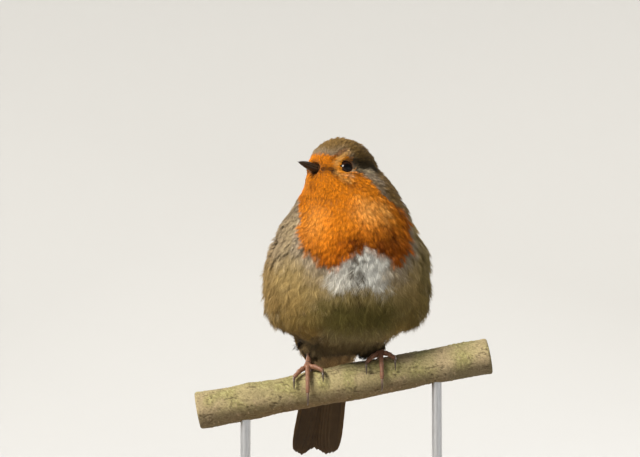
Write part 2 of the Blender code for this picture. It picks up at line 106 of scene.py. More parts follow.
def ripples(points, size, seed):
    return np.stack([ripple(points, size, seed + k) for k in range(3)], axis=1)


def tinted(colour, other, share):
    # a colour, or many, part of the way to another
    share = np.clip(np.asarray(share, float), 0.0, 1.0)[..., None]
    return np.asarray(colour, float) * (1.0 - share) + np.asarray(other, float) * share


# meshes

def addMesh(name, mesh, *materials):
    piece = bpy.data.objects.new(name, mesh)
    scene.collection.objects.link(piece)
    for material in materials:
        mesh.materials.append(material)
    return piece


def meshFrom(name, points, faces):
    mesh = bpy.data.meshes.new(name)
    mesh.from_pydata([tuple(p) for p in points], [], faces)
    mesh.shade_smooth()
    return mesh


def meshOf(shape, name):
    # a bmesh's result as a mesh, and the bmesh freed
    mesh = bpy.data.meshes.new(name)
    shape.to_mesh(mesh)
    shape.free()
    return mesh


def closedMesh(name, points, faces):
    mesh = meshFrom(name, points, faces)
    shape = bmesh.new()
    shape.from_mesh(mesh)
    bmesh.ops.recalc_face_normals(shape, faces=shape.faces)
    shape.to_mesh(mesh)
    shape.free()
    return mesh


def gridFaces(rows, wide, around=False, along=False):
    # quads between points that stand in rows; the grid may close on itself either way
    faces = []
    for i in range(rows if along else rows - 1):
        for k in range(wide if around else wide - 1):
            j, n = (i + 1) % rows * wide, (k + 1) % wide
            faces.append((i * wide + k, i * wide + n, j + n, j + k))
    return faces


def tubeMesh(name, rings, firstPoint=None, lastPoint=None):
    # a closed skin over rings of equal count, each end flat or drawn to a point
    count = len(rings[0])
    points = [p for ring in rings for p in ring]
    faces = gridFaces(len(rings), count, around=True)
    for row, point in ((0, firstPoint), (len(rings) - 1, lastPoint)):
        if point is None:
            faces.append(tuple(row * count + k for k in range(count)))
            continue
        faces += [(row * count + k, row * count + (k + 1) % count, len(points)) for k in range(count)]
        points.append(point)
    return closedMesh(name, points, faces)


def plainMesh(piece):
    # the evaluated result as a plain mesh, with no modifier left
    made = bpy.data.meshes.new_from_object(piece.evaluated_get(bpy.context.evaluated_depsgraph_get()))
    old = piece.data
    piece.modifiers.clear()
    piece.data = made
    bpy.data.meshes.remove(old)


def softened(piece, rounds):
    soften = piece.modifiers.new("soften", "SMOOTH")
    soften.factor = 0.5
    soften.iterations = rounds
    plainMesh(piece)


def setPoint(mesh, name, kind, values):
    attribute = mesh.attributes.new(name, kind, "POINT")
    field = {"FLOAT": "value", "FLOAT_VECTOR": "vector", "FLOAT_COLOR": "color"}[kind]
    attribute.data.foreach_set(field, np.asarray(values, np.float32).ravel())


def setColour(mesh, name, values):
    setPoint(mesh, name, "FLOAT_COLOR", np.c_[values, np.ones(len(values))])


def readVectors(data, field, count):
    flat = np.zeros(count * 3, np.float32)
    data.foreach_get(field, flat)
    return flat.reshape(-1, 3).astype(float)


def treeOf(mesh):
    faces = [tuple(f.vertices) for f in mesh.polygons]
    return BVHTree.FromPolygons([v.co.copy() for v in mesh.vertices], faces)


def joinMeshes(name, meshes):
    # one mesh of several, with their point attributes, by way of the join operator
    parts = [addMesh(f"{name}_part", mesh) for mesh in meshes]
    bpy.ops.object.select_all(action="DESELECT")
    for part in parts:
        part.select_set(True)
    bpy.context.view_layer.objects.active = parts[0]
    bpy.ops.object.join()
    parts[0].select_set(False)
    parts[0].name = parts[0].data.name = name
    return parts[0]


# nodes and materials

def addNode(tree, kind, inputs, output=None, **settings):
    # a node with its settings and inputs; gives back the named output, or the first
    node = tree.nodes.new(kind)
    for name, value in settings.items():
        setattr(node, name, value)
    for key, value in inputs.items():
        socket = node.inputs[key] if isinstance(key, int) else next(
            s for s in node.inputs if s.name == key and s.enabled)
        if isinstance(value, bpy.types.NodeSocket):
            tree.links.new(value, socket)
        else:
            socket.default_value = value
    return node.outputs[output] if output else next(s for s in node.outputs if s.enabled)


def newMaterial(name):
    made = bpy.data.materials.new(name)
    made.use_nodes = True
    return made, made.node_tree


def dress(tree, colour, numbers, height=None, relief=0.0, strength=0.5):
    # the shader's colour, plain numbers and fine relief
    shader = tree.nodes["Principled BSDF"]
    if isinstance(colour, tuple):
        shader.inputs["Base Color"].default_value = colour
    else:
        tree.links.new(colour, shader.inputs["Base Color"])
    for name, value in numbers.items():
        shader.inputs[name].default_value = value
    if height:
        bump = addNode(tree, "ShaderNodeBump", {"Distance": relief, "Strength": strength, "Height": height})
        tree.links.new(bump, shader.inputs["Normal"])


def attributeOut(tree, name, output="Fac"):
    return addNode(tree, "ShaderNodeAttribute", {}, output, attribute_name=name)


def ranged(tree, value, fromLow, fromHigh, low, high, kind="LINEAR"):
    inputs = {"Value": value, "From Min": fromLow, "From Max": fromHigh, "To Min": low, "To Max": high}
    return addNode(tree, "ShaderNodeMapRange", inputs, interpolation_type=kind)


def math2(tree, operation, a, b=0.0):
    return addNode(tree, "ShaderNodeMath", {0: a, 1: b}, operation=operation)


def mixed(tree, share, a, b):
    return addNode(tree, "ShaderNodeMix", {"Factor": share, "A": a, "B": b}, data_type="RGBA")


def scaled(tree, colour, amount):
    return addNode(tree, "ShaderNodeVectorMath", {0: colour, "Scale": amount}, operation="SCALE")


def noiseOut(tree, scale, detail=2.0, stretch=None):
    place = addNode(tree, "ShaderNodeTexCoord", {}, "Object")
    if stretch:
        place = addNode(tree, "ShaderNodeMapping", {"Scale": stretch, "Vector": place})
    return addNode(tree, "ShaderNodeTexNoise", {"Scale": scale, "Detail": detail, "Vector": place}, "Fac")


plumageLook = {
    "rootShade": 0.74,  # how dark a feather is at its root
    "shadeStart": 0.30, "shadeEnd": 0.80,  # share of the feather's length where the shade ends
    "toneLow": 0.91, "toneHigh": 1.07,  # light and dark between feathers
    "streakLow": 0.76, "streakHigh": 1.10,  # and between the barbs of one feather
    "glint": 1.5, "glintFrom": 0.80,  # the palest barbs
    "down": (0.15, 0.125, 0.095, 1.0),  # grey of the hidden down, its share at the root and where it ends
    "downShare": 0.12, "downStart": 0.25, "downEnd": 0.60,
    "roughness": 0.9, "sheen": 0.03, "specular": 0.03,
}


def plumageMaterial():
    made, tree = newMaterial("plumage")
    look = plumageLook
    along, streaks = attributeOut(tree, "along"), attributeOut(tree, "streak")
    shade = ranged(tree, along, look["shadeStart"], look["shadeEnd"], look["rootShade"], 1.0, "SMOOTHSTEP")
    tone = ranged(tree, attributeOut(tree, "tone"), 0.0, 1.0, look["toneLow"], look["toneHigh"])
    streak = ranged(tree, streaks, 0.0, 1.0, look["streakLow"], look["streakHigh"])
    glint = ranged(tree, streaks, look["glintFrom"], 1.0, 1.0, look["glint"])
    barbs = math2(tree, "MULTIPLY", streak, glint)
    level = math2(tree, "MULTIPLY", math2(tree, "MULTIPLY", shade, tone), barbs)
    grey = ranged(tree, along, look["downStart"], look["downEnd"], look["downShare"], 0.0, "SMOOTHSTEP")
    paint = mixed(tree, grey, attributeOut(tree, "coatColour", "Color"), look["down"])
    dress(tree, scaled(tree, paint, level), {
        "Roughness": look["roughness"], "Specular IOR Level": look["specular"],
        "Sheen Weight": look["sheen"], "Sheen Roughness": 0.5,
    })
    return made


def skinMaterial():
    made, tree = newMaterial("skin_under_coat")
    speckle = noiseOut(tree, 900.0)
    # the skin under the coat is painted darker than the feathers, as shade between them
    level = ranged(tree, speckle, 0.3, 0.7, 0.40, 0.66)
    colour = scaled(tree, attributeOut(tree, "plumage", "Color"), level)
    dress(tree, colour, {"Roughness": 0.9}, speckle, 0.0004)
    return made


vaneFinishMake = {
    "slope": 1.25, "barbs": 17.0, "lines": (0.86, 1.10), "cloud": (0.86, 1.14), "relief": 0.00004,
}


def vaneMaterial():
    # fine barb lines that run out from the shaft on both sides
    made, tree = newMaterial("flight_feathers")
    make = vaneFinishMake
    split = addNode(tree, "ShaderNodeSeparateXYZ", {0: attributeOut(tree, "barb", "Vector")}).node.outputs
    reach = math2(tree, "ABSOLUTE", split[0])
    line = math2(tree, "SUBTRACT", split[1], math2(tree, "MULTIPLY", reach, make["slope"]))
    wave = math2(tree, "SINE", math2(tree, "MULTIPLY", line, make["barbs"]))
    level = ranged(tree, wave, -1.0, 1.0, *make["lines"])
    cloud = ranged(tree, noiseOut(tree, 260.0, 3.0), 0.3, 0.7, *make["cloud"])
    colour = scaled(tree, attributeOut(tree, "plumage", "Color"), math2(tree, "MULTIPLY", level, cloud))
    dress(tree, colour, {"Roughness": 0.62, "Specular IOR Level": 0.18}, wave, make["relief"])
    return made


def attributeMaterial(name, roughness, specular=0.5, coat=0.0, grain=0.0, grainSize=900.0, relief=0.00006):
    # colour from the piece's own points, with an even fine grain
    made, tree = newMaterial(name)
    fine = noiseOut(tree, grainSize, 3.0)
    level = ranged(tree, fine, 0.3, 0.7, 1.0 - grain, 1.0 + grain)
    numbers = {
        "Roughness": roughness, "Specular IOR Level": specular, "Coat Weight": coat, "Coat Roughness": 0.04,
    }
    colour = scaled(tree, attributeOut(tree, "paint", "Color"), level)
    dress(tree, colour, numbers, fine if grain else None, relief)
    return made


# where the folded wings lie, in the body frame, as in the part's source

wingMake = {
    "bend": (20.0, 2.0, 62.0), "back": (23.0, 21.5, 40.0), "tip": (4.6, 42.0, 4.5),
    "halfWidth": 12.5,
    "axis": ((0.0, 2.0, 66.0), (0.0, 26.0, 14.0)),
    "stations": 61,
    "rows": 35, "reach": 17.0,  # points across, and how far in mm to each side
    "thick": 9.0,  # mm from its middle surface that count as the wing
}


def curve(a, b, c, t):
    # from a to c, past b half way
    a, b, c = (np.array(v, float) for v in (a, b, c))
    handle = 2.0 * b - 0.5 * (a + c)
    t = np.asarray(t, float)[..., None]
    return a * (1 - t) ** 2 + handle * 2 * t * (1 - t) + c * t * t


def nearestOnAxis(points):
    start, end = (np.array(v) for v in wingMake["axis"])
    run = end - start
    share = np.clip((points - start) @ run / (run @ run), 0.0, 1.0)
    return start + share[..., None] * run


wingShares = np.linspace(0.0, 1.0, wingMake["stations"])
wingLine = curve(wingMake["bend"], wingMake["back"], wingMake["tip"], wingShares)
wingAhead = unit(np.gradient(wingLine, axis=0))
wingOut = wingLine - nearestOnAxis(wingLine)
wingOut = unit(wingOut - wingAhead * np.sum(wingOut * wingAhead, axis=1, keepdims=True))
wingUp = np.cross(wingOut, wingAhead)
wingLength = np.concatenate([[0.0], np.cumsum(np.linalg.norm(np.diff(wingLine, axis=0), axis=1))])
wingRound = np.abs(np.sin(math.pi * wingShares**0.62)) ** 0.62
wingHalf = wingMake["halfWidth"] * wingRound * (1.0 - 0.56 * wingShares)


def wingPlace(bodyPoints, sign):
    # share along the wing, mm across it, and mm inside its outline
    own = bodyPoints * (sign, 1.0, 1.0)
    near = np.argmin(np.linalg.norm(own[:, None, :] - wingLine[None, :, :], axis=2), axis=1)
    off = own - wingLine[near]
    across = np.sum(off * wingUp[near], axis=1)
    away = np.sum(off * wingOut[near], axis=1)
    inside = np.where(np.abs(away) < wingMake["thick"], wingHalf[near] - np.abs(across), farOff)
    return wingShares[near], across, inside


# skin

skinMake = {
    "flesh": ("head", "neck", "trunk", "thigh_left", "thigh_right"),
    "swell": {"thigh_left": 1.5, "thigh_right": 0.35},  # mm beyond the solids
    "otherSwell": 0.45,  # mm, closes the thin cuts between them
    "lean": {"thigh_left": (-3.8, 0.0, -3.4), "thigh_right": (2.6, 0.0, 0.0)},  # mm, at the lower end
    "leanHeights": (94.0, 78.0),  # mm over the floor, where the lean starts and is whole
    "voxel": 0.85,  # mm
    "smoothing": 7, "settling": 4,
    # mm from the bill's root, and how deep the coat is there
    "depthAt": ((0.0, 4.0, 9.0, 16.0, 26.0, 40.0, 60.0), (0.05, 0.12, 0.35, 0.8, 1.6, 2.5, 2.9)),
    "billRoot": (0.0, -13.0, -3.6),
}


def fleshPart(node):
    # a copy of a solid, merged, swollen and leaned
    shape = bmesh.new()
    shape.from_mesh(nodes[node].data)
    bmesh.ops.remove_doubles(shape, verts=shape.verts, dist=2e-6)
    shape.normal_update()
    swell = skinMake["swell"].get(node, skinMake["otherSwell"]) * mm
    lean = Vector(skinMake["lean"].get(node, (0, 0, 0))) * mm
    for vert in shape.verts:
        vert.co += vert.normal * swell
        vert.co += lean * float(step(*skinMake["leanHeights"], vert.co.z / mm))
    return meshOf(shape, node + "_part")


def keepLargest(shape):
    # only the largest shell stays
    seen, shells = set(), []
    for vert in shape.verts:
        if vert in seen:
            continue
        shell, queue = [], [vert]
        seen.add(vert)
        while queue:
            here = queue.pop()
            shell.append(here)
            for edge in here.link_edges:
                other = edge.other_vert(here)
                if other not in seen:
                    seen.add(other)
                    queue.append(other)
        shells.append(shell)
    for shell in sorted(shells, key=len)[:-1]:
        bmesh.ops.delete(shape, geom=shell, context="VERTS")


def makeOuterSkin():
    whole = bmesh.new()
    for node in skinMake["flesh"]:
        part = fleshPart(node)
        whole.from_mesh(part)
        if node.startswith("thigh"):
            thighTrees.append(treeOf(part))
        bpy.data.meshes.remove(part)
    piece = addMesh("skin", meshOf(whole, "skin"))
    remesh = piece.modifiers.new("remesh", "REMESH")
    remesh.mode = "VOXEL"
    remesh.voxel_size = skinMake["voxel"] * mm
    softened(piece, skinMake["smoothing"])
    shape = bmesh.new()
    shape.from_mesh(piece.data)
    keepLargest(shape)
    bmesh.ops.recalc_face_normals(shape, faces=shape.faces)
    shape.to_mesh(piece.data)
    shape.free()
    piece.data.shade_smooth()
    return piece


print("skin")
thighTrees = []
skin = makeOuterSkin()
outerPoints = readVectors(skin.data.vertices, "co", len(skin.data.vertices))
outerNormals = readVectors(skin.data.vertex_normals, "vector", len(skin.data.vertices))
outerTree = treeOf(skin.data)
headPlace = into(headFrame, outerPoints)
bodyPlace = into(bodyFrame, outerPoints)
bodyX, bodyY, bodyZ = bodyPlace.T
billReach = np.linalg.norm(headPlace - np.array(skinMake["billRoot"]), axis=1)
eyeMiddle = np.array((7.9, -6.2, -1.5))
eyeGap = np.minimum(*[np.linalg.norm(headPlace - eyeMiddle * (s, 1, 1), axis=1) for _, s in sides])


def gapTo(trees):
    # mm from each skin point to the nearest of these shapes
    gap = np.full(len(outerPoints), -farOff)
    for tree in trees:
        found = [tree.find_nearest(Vector(p), 0.03)[3] for p in outerPoints]
        gap = np.minimum(gap, [-farOff if f is None else f / mm for f in found])
    return gap


footGap = gapTo([treeOf(nodes["foot_" + side].data) for side, _ in sides])
thighShare = step(3.0, 1.6, gapTo(thighTrees)) * step(20.0, 15.0, bodyZ)

# how each skin point stands to the wings: share along, mm across, mm inside the wing's outline
wingShare, wingAcross, wingInside = np.zeros((3, len(outerPoints)))
wingSign = np.where(bodyX > 0, 1.0, -1.0)
for _, sign in sides:
    own = wingSign == sign
    wingShare[own], wingAcross[own], wingInside[own] = wingPlace(bodyPlace[own], sign)


# markings, with painted light and shade among them

markings = {
    # some of these colours are painted light and shade: the bib's brightest and darkest patches, the dark
    # behind the eyes, the belly's shaded olive and the deepest shade low on the body
    "orange": (0.72, 0.215, 0.010), "rust": (0.40, 0.095, 0.006), "amber": (0.80, 0.32, 0.03),
    "honey": (0.80, 0.43, 0.12), "litPeach": (1.0, 0.44, 0.10), "umber": (0.17, 0.045, 0.008),
    "shadeEmber": (0.105, 0.022, 0.003), "shadeBehindEye": (0.020, 0.015, 0.007), "line": (0.035, 0.018, 0.008),
    "grey": (0.37, 0.30, 0.220), "olive": (0.240, 0.142, 0.045), "oliveDark": (0.115, 0.073, 0.026),
    "loden": (0.205, 0.145, 0.072), "white": (0.72, 0.71, 0.65), "shadedOlive": (0.108, 0.090, 0.024),
    "buff": (0.46, 0.33, 0.135), "ochre": (0.31, 0.185, 0.052), "cream": (0.62, 0.50, 0.31),
    "leg": (0.050, 0.034, 0.014),
    # the bib's lower edge: degrees round the breast, and height above the perch in mm
    "bibEdge": (
        (-180, -90, -66, -59, -57, -49, -45, -39, -25, -14, -1, 9, 18, 26, 34, 40, 46, 53, 60, 70, 180),
        (140, 112, 90, 72, 61, 55, 52, 49.5, 45, 47.5, 52, 51.5, 49, 46.3, 49.5, 54.5, 59, 66, 76, 96, 140),
    ),
    "bibTurn": -50.0, "neck": (62.0, 86.0),  # the bib follows the head's turn between these heights
    # the face's upper edge, head frame: how far back, and how high, in mm
    "faceEdge": (
        (-18, -14.5, -12.3, -10.5, -8.3, -7.0, -5.6, -4.5, -1.0, 0.5, 1.5, 3.0, 6.8, 8.5, 12),
        (2.4, 2.4, 1.9, 2.7, 3.8, 3.6, 0.5, -2.4, -3.2, -4.6, -7.0, -8.0, -8.8, -13, -30),
    ),
    # patches on the bib, the pale ones painted highlights and the dark ones painted shade: colour, share,
    # degrees round the breast, height, and their half sizes
    "lightAndShadePatches": (
        ("litPeach", 0.85, 5.0, 67.0, 12.0, 5.5), ("honey", 0.55, 22.0, 67.0, 6.0, 6.0),
        ("litPeach", 0.35, -42.0, 62.0, 13.0, 8.0), ("rust", 0.55, -17.0, 54.0, 8.0, 5.0),
        ("rust", 0.75, 26.0, 58.5, 8.0, 5.0), ("shadeEmber", 0.95, 13.0, 53.5, 8.5, 4.8),
        ("shadeEmber", 0.85, 25.0, 55.5, 6.0, 5.0), ("shadeEmber", 1.0, -7.0, 53.5, 6.0, 3.8),
    ),
    # strokes on the face, head frame, left side in mm: colour, share, half width, points
    "strokes": (
        ("shadeBehindEye", 0.45, 3.4, ((10.2, -1.5, 6.2), (9.4, 5.0, 8.0))),  # painted shade behind the eye, in this stroke and the next
        ("shadeBehindEye", 0.93, 2.5, ((11.4, -4.2, 1.2), (12.4, -0.3, 1.6), (12.6, 5.0, 2.4))),
        ("grey", 0.75, 1.9, ((14.6, 2.0, -1.6), (16.0, 6.0, -4.0))),  # behind the cheek
        ("cream", 0.85, 0.65, ((11.6, -5.4, -2.4), (12.6, -2.1, -1.1), (14.0, 2.2, -0.8))),
        ("honey", 0.85, 0.85, ((8.9, -7.2, 4.6), (7.9, -9.7, 2.7), (7.2, -11.1, -0.8))),  # the brow
        ("umber", 0.80, 0.60, ((8.2, -7.6, 6.0), (6.9, -10.8, 2.9), (5.8, -12.8, 0.4))),
        ("honey", 0.75, 0.75, ((7.4, -11.2, -3.9), (10.4, -8.7, -6.9), (12.2, -7.0, -7.4))),  # under the eye
        ("cream", 0.60, 0.55, ((10.2, -8.6, -5.0), (12.6, -5.6, -4.9))),
        ("line", 0.95, 1.50, ((1.4, -13.9, -3.6), (3.8, -13.2, -3.6))),  # from the gape to the eye
        ("line", 0.90, 0.70, ((4.4, -13.0, -3.6), (7.4, -11.6, -3.7))),
        # painted shade in the crease below the eye
        ("line", 0.75, 0.60, ((6.8, -12.0, -4.7), (8.6, -10.4, -6.4))),
        ("umber", 0.75, 0.70, ((0.4, -13.7, -6.0), (0.9, -14.1, -9.0), (1.2, -13.9, -12.0))),  # painted shadow of the bill on the chin
        # painted shade, the same crease running back under the cheek
        ("umber", 0.80, 0.60, (
            (8.6, -10.4, -6.4), (11.6, -7.5, -8.2), (13.7, -5.3, -9.6), (17.6, 0.6, -8.7),
        )),
    ),
    "farShadeBehindEye": 0.6,  # the painted shade behind the eye is weaker on the bird's right, the far side
}


def segmentGap(points, a, b):
    a, b = np.array(a, float), np.array(b, float)
    run = b - a
    share = np.clip((points - a) @ run / (run @ run), 0.0, 1.0)
    return np.linalg.norm(points - a - share[:, None] * run, axis=1)


def aroundBody(body):
    # degrees round the breast, from its middle towards the bird's left
    return np.degrees(np.arctan2(body[:, 0], -body[:, 1]))


def unevenness(points):
    return ripple(points, 0.0045, 3.0), ripple(points, 0.0016, 7.0), ripple(points, 0.012, 5.0)


def insideBib(points):
    # mm inside the orange's edge, and how much each point belongs to the face
    m = markings
    head, body = into(headFrame, points), into(bodyFrame, points)
    height = body[:, 2]
    rough, fine, _ = unevenness(points)
    around = (aroundBody(body) - m["bibTurn"] * step(*m["neck"], height) + 180.0) % 360.0 - 180.0
    onBody = height - np.interp(around, *m["bibEdge"]) + 1.8 * rough + 1.0 * fine
    onHead = np.interp(head[:, 1], *m["faceEdge"]) - head[:, 2] + 0.35 * rough + 0.3 * fine
    headShare = step(-14.0, -9.0, head[:, 2])
    return onBody * (1.0 - headShare) + onHead * headShare, headShare


def paintPlumage(points):
    m = markings
    head, body = into(headFrame, points), into(bodyFrame, points)
    turn, height = aroundBody(body), body[:, 2]
    wide = np.abs(turn)
    rough, fine, broad = unevenness(points)
    long = np.stack([turn * 0.5, height * 0.20, body[:, 1] * 0.1], axis=1)
    strands = ripple(long, 1.7, 23.0)  # long and narrow
    inside, headShare = insideBib(points)
    bodyShare = 1.0 - headShare
    softness = 1.0 * bodyShare + 0.5 * headShare
    orange = step(-softness, softness, inside)
    nearEdge = bell(np.minimum(inside, 0.0), -1.0, 8.0 * bodyShare + 2.4 * headShare)
    front = step(-0.30, 0.30, np.cos(np.radians(turn)))
    flank = front * step(72.0, 60.0, height)
    colour = np.repeat(np.array(m["olive"])[None, :], len(points), axis=0)

    def lay(name, share):
        nonlocal colour
        colour = tinted(colour, m[name], share)

    lay("oliveDark", 0.35 * step(0.0, 0.8, rough))
    lay("loden", 0.75 * step(72.0, 112.0, wide) * (1.0 - 0.6 * headShare))  # the back
    lay("grey", 0.06 * headShare * step(0.0, 0.7, broad))
    # painted shade: the side of the neck darker towards the back, and more on the bird's left
    shadedNeckSide = band(wide, 44.0, 62.0, 90.0, 112.0) * step(48.0, 56.0, height)
    lay("oliveDark", 0.6 * shadedNeckSide * (1.0 - 0.5 * headShare))
    lay("oliveDark", 0.5 * band(turn, 62.0, 76.0, 98.0, 118.0) * step(56.0, 66.0, height))
    lay("buff", flank)
    lay("ochre", flank * step(46.0, 24.0, height) * step(22.0, 55.0, wide) * 0.8)
    lay("olive", flank * step(60.0, 82.0, wide) * 0.55)
    lay("grey", nearEdge * front * (0.9 * bodyShare + 0.55 * headShare))
    lay("grey", 0.55 * band(turn, -100.0, -86.0, -56.0, -46.0) * band(height, 42.0, 52.0, 68.0, 76.0))
    # painted shade on the belly and the lower flanks, darker towards the bottom and on the bird's left flank
    lay("shadedOlive", 0.95 * step(60.0, 20.0, wide + 5.0 * broad) * step(40.0, 28.0, height) * front)
    lay("shadedOlive", 0.38 * step(36.0, 22.0, height) * flank * step(20.0, 40.0, wide))
    lay("shadedOlive", 0.62 * band(turn, 44.0, 56.0, 80.0, 96.0) * band(height, 20.0, 28.0, 50.0, 62.0))
    # the white under the bib, its lobe on the bird's right a little darker and a parting down it, both
    # painted shade
    white = step(26.0, 17.0, np.abs(turn + 3.5) + 4.0 * rough) * step(66.0, 58.0, height) * front
    white *= step(33.0, 38.5, height + 3.0 * broad + 1.5 * rough)
    lay("white", white * (0.95 + 0.2 * rough) * (1.0 - 0.16 * step(-6.0, -10.0, turn)))
    lay("leg", 0.93 * bell(turn + 1.2 * rough, -5.0, 2.4, 4) * band(height, 27.0, 33.0, 52.0, 58.0))
    lay("cream", 0.30 * step(24.0, 13.0, height) * step(18.0, 12.0, np.abs(body[:, 0])))
    # painted shade on the underside between the legs
    between = step(8.0, 0.0, body[:, 1]) * step(14.0, 10.5, np.abs(body[:, 0] + 2.0))
    lay("leg", 0.85 * step(18.0, 14.5, height) * between)
    # the bib and the face
    lay("orange", orange)
    lay("amber", orange * step(-0.1, 0.8, broad + 0.5 * rough) * 0.4)
    low = orange * bodyShare
    # darker rust towards the bib's lower edge; the extra share on the bird's left side is painted shade
    uneven = np.clip(0.45 + 0.7 * rough + 0.3 * step(4.0, 26.0, turn), 0.0, 1.0)
    lay("rust", low * step(13.0, 2.0, inside) * uneven)
    lay("umber", low * step(5.0, 1.0, inside) * step(-60.0, -40.0, turn) * 0.45)
    # painted highlights and painted shade on the bib
    for name, share, around, level, wideness, tallness in m["lightAndShadePatches"]:
        lay(name, low * share * bell(turn, around, wideness) * bell(height, level, tallness))
    for _, sign in sides:
        own = head * (sign, 1.0, 1.0)
        eye = own - eyeMiddle
        ring = step(5.2, 3.9, np.linalg.norm(eye, axis=1))
        lay("amber", ring * step(1.0, -2.0, eye[:, 1]) * 0.7)
        lay("cream", ring * step(-1.5, 1.0, eye[:, 1]) * step(2.6, 0.4, eye[:, 2]) * 0.75)
        for name, share, half, path in m["strokes"]:
            gap = np.min([segmentGap(own, a, b) for a, b in zip(path, path[1:])], axis=0)
            # the painted shade behind the eye is weaker on the far side
            if name == "shadeBehindEye" and sign < 0:
                share *= m["farShadeBehindEye"]
            lay(name, step(half * 2.0, half * 0.5, gap + 0.3 * half * rough) * share)
    lay("cream", 0.40 * step(0.25, 0.75, strands) * flank * (1.0 - orange) * step(28.0, 44.0, wide))
    colour *= (1.0 + 0.10 * rough + 0.06 * fine + 0.06 * broad + 0.20 * strands * bodyShare)[:, None]
    return np.clip(colour, 0.0, 1.0)


# the lie of the coat

coatLie = {
    # mm from the bill's root, and the feathers' length there
    "lengthAt": ((0.0, 4.0, 9.0, 16.0, 26.0, 34.0, 46.0, 60.0), (1.2, 1.7, 2.5, 3.8, 5.3, 6.8, 8.1, 8.6)),
    "liftAt": ((0.0, 8.0, 16.0, 30.0, 45.0), (7.0, 8.0, 8.5, 9.5, 13.0)),  # degrees
    "swirl": 0.30,
    "colourAt": 0.62,  # share of a feather's length where its colour is read
}


def beside(wingPart, start, full):
    # a strip along the wing's outline, on the side that wingPart picks
    return step(start, full, wingInside) * wingPart * (wingShare > 0.01) * (wingShare < 0.62)


frontBand = beside(wingAcross < 0, -9.0, -3.0)
backBand = beside(wingAcross > 0, -8.0, -2.0)


def layFeathers():
    headFlow = turned(headFrame, unit(headPlace - np.array(skinMake["billRoot"])))
    outwards = 0.10 * np.sign(bodyX) * step(4.0, 20.0, np.abs(bodyX))
    bodyWay = unit(np.c_[outwards, 0.20 + 0.35 * step(60.0, 20.0, bodyZ), np.full(len(bodyX), -1.0)])
    # in front of a wing the feathers lie back over its edge, above it they run along it
    near = np.argmin(np.abs(wingShare[:, None] - wingShares[None, :]), axis=1)
    mirror = np.c_[wingSign, np.ones(len(near)), np.ones(len(near))]
    towards, ahead = wingUp[near] * mirror, wingAhead[near] * mirror
    bodyWay = unit(bodyWay + towards * 0.75 * frontBand[:, None])
    back = 0.7 * backBand[:, None]
    bodyWay = unit(bodyWay * (1.0 - back) + (ahead - towards * 0.25) * back)
    trouser = thighShare[:, None]
    hanging = unit(np.c_[-0.35 * wingSign, np.full(len(wingSign), -0.15), np.full(len(wingSign), -1.0)])
    bodyWay = unit(bodyWay * (1.0 - trouser) + hanging * trouser)
    share = step(-13.0, -2.0, headPlace[:, 2])[:, None]
    flow = unit(headFlow * share + turned(bodyFrame, bodyWay) * (1.0 - share))
    flow = flow + ripples(outerPoints, 0.006, 11.0) * coatLie["swirl"] * (1.0 - 0.5 * share)
    return unit(flow - outerNormals * np.sum(flow * outerNormals, axis=1, keepdims=True))


lie = layFeathers()
# shorter and closer at the lower edges, where the body turns under
lowSide = step(30.0, 18.0, bodyZ) * step(12.0, 19.0, np.abs(bodyX + 0.2 * bodyY))
length = np.interp(billReach, *coatLie["lengthAt"])
for less in (
    0.35 * step(6.5, 4.0, eyeGap), 0.55 * thighShare,
    (0.30 + 0.22 * (bodyX < 0)) * lowSide * (1.0 - thighShare),
    0.30 * step(8.0, 3.0, footGap), 0.15 * backBand - 0.10 * frontBand,
):
    length *= 1.0 - less
depth = np.interp(billReach, *skinMake["depthAt"])
depth *= (1.0 - 0.97 * thighShare) * (1.0 - 0.6 * step(6.0, 4.2, eyeGap))

colourPoints = outerPoints + lie * (length * coatLie["colourAt"] * mm)[:, None]
bibInside, onFace = insideBib(colourPoints)
shoulder = step(11.0, 19.0, np.abs(bodyX)) * band(bodyZ, 57.5, 64.0, 74.0, 80.0)
shoulder *= step(-16.0, -8.0, bodyY) * (bodyX < 0)
depth = depth * (1.0 - shoulder) - 0.7 * shoulder
# how far the feathers stand off, in degrees
lift = np.interp(billReach, *coatLie["liftAt"]) + 5.0 * ripple(outerPoints, 0.006, 21.0)
# the belly's lower edge hangs loose
lift += 7.0 * step(26.0, 16.0, bodyZ) * (1.0 - thighShare) * (1.0 - lowSide)
lift -= 1.0 * frontBand + 3.0 * backBand + 8.0 * lowSide + 8.0 * thighShare
lift -= 3.0 * step(7.0, 10.0, headPlace[:, 2])
lift -= 3.0 * band(bodyZ, 28.0, 32.0, 40.0, 44.0) * step(-18.0, -26.0, bodyX)
lift += 12.0 * band(billReach, 4.0, 7.0, 13.0, 18.0) * step(1.0, 4.0, headPlace[:, 2])  # the steep forehead
# the bib stands out over the belly
lift += 9.0 * bell(bibInside, 3.0, 3.5) * (1.0 - onFace) * (bodyY < -12.0)
lift += 7.0 * shoulder
# nothing grows under the wings, on the eyes or in the bill's seat
underWing = np.where(wingAcross < 0, step(1.8, 3.2, wingInside), step(0.4, 1.6, wingInside))
cover = 1.0 - underWing * step(0.16, 0.24, wingShare) * (wingShare < 0.97)
behindEye = step(-0.8, 1.0, headPlace[:, 1] - eyeMiddle[1])
cover *= step(3.3 - 0.25 * behindEye, 3.8 - 0.4 * behindEye, eyeGap)
seat = (np.abs(headPlace[:, 0]) < 2.2) & (headPlace[:, 1] < -12.4) & (np.abs(headPlace[:, 2] + 3.6) < 1.7)
cover[seat] = 0.0

# painted shade: the thighs low down take the deep shade colour
lower = step(25.0, 16.0, bodyZ) * thighShare
coatColour, skinColour = (
    tinted(paintPlumage(p), markings["leg"], lower) for p in (colourPoints, outerPoints))

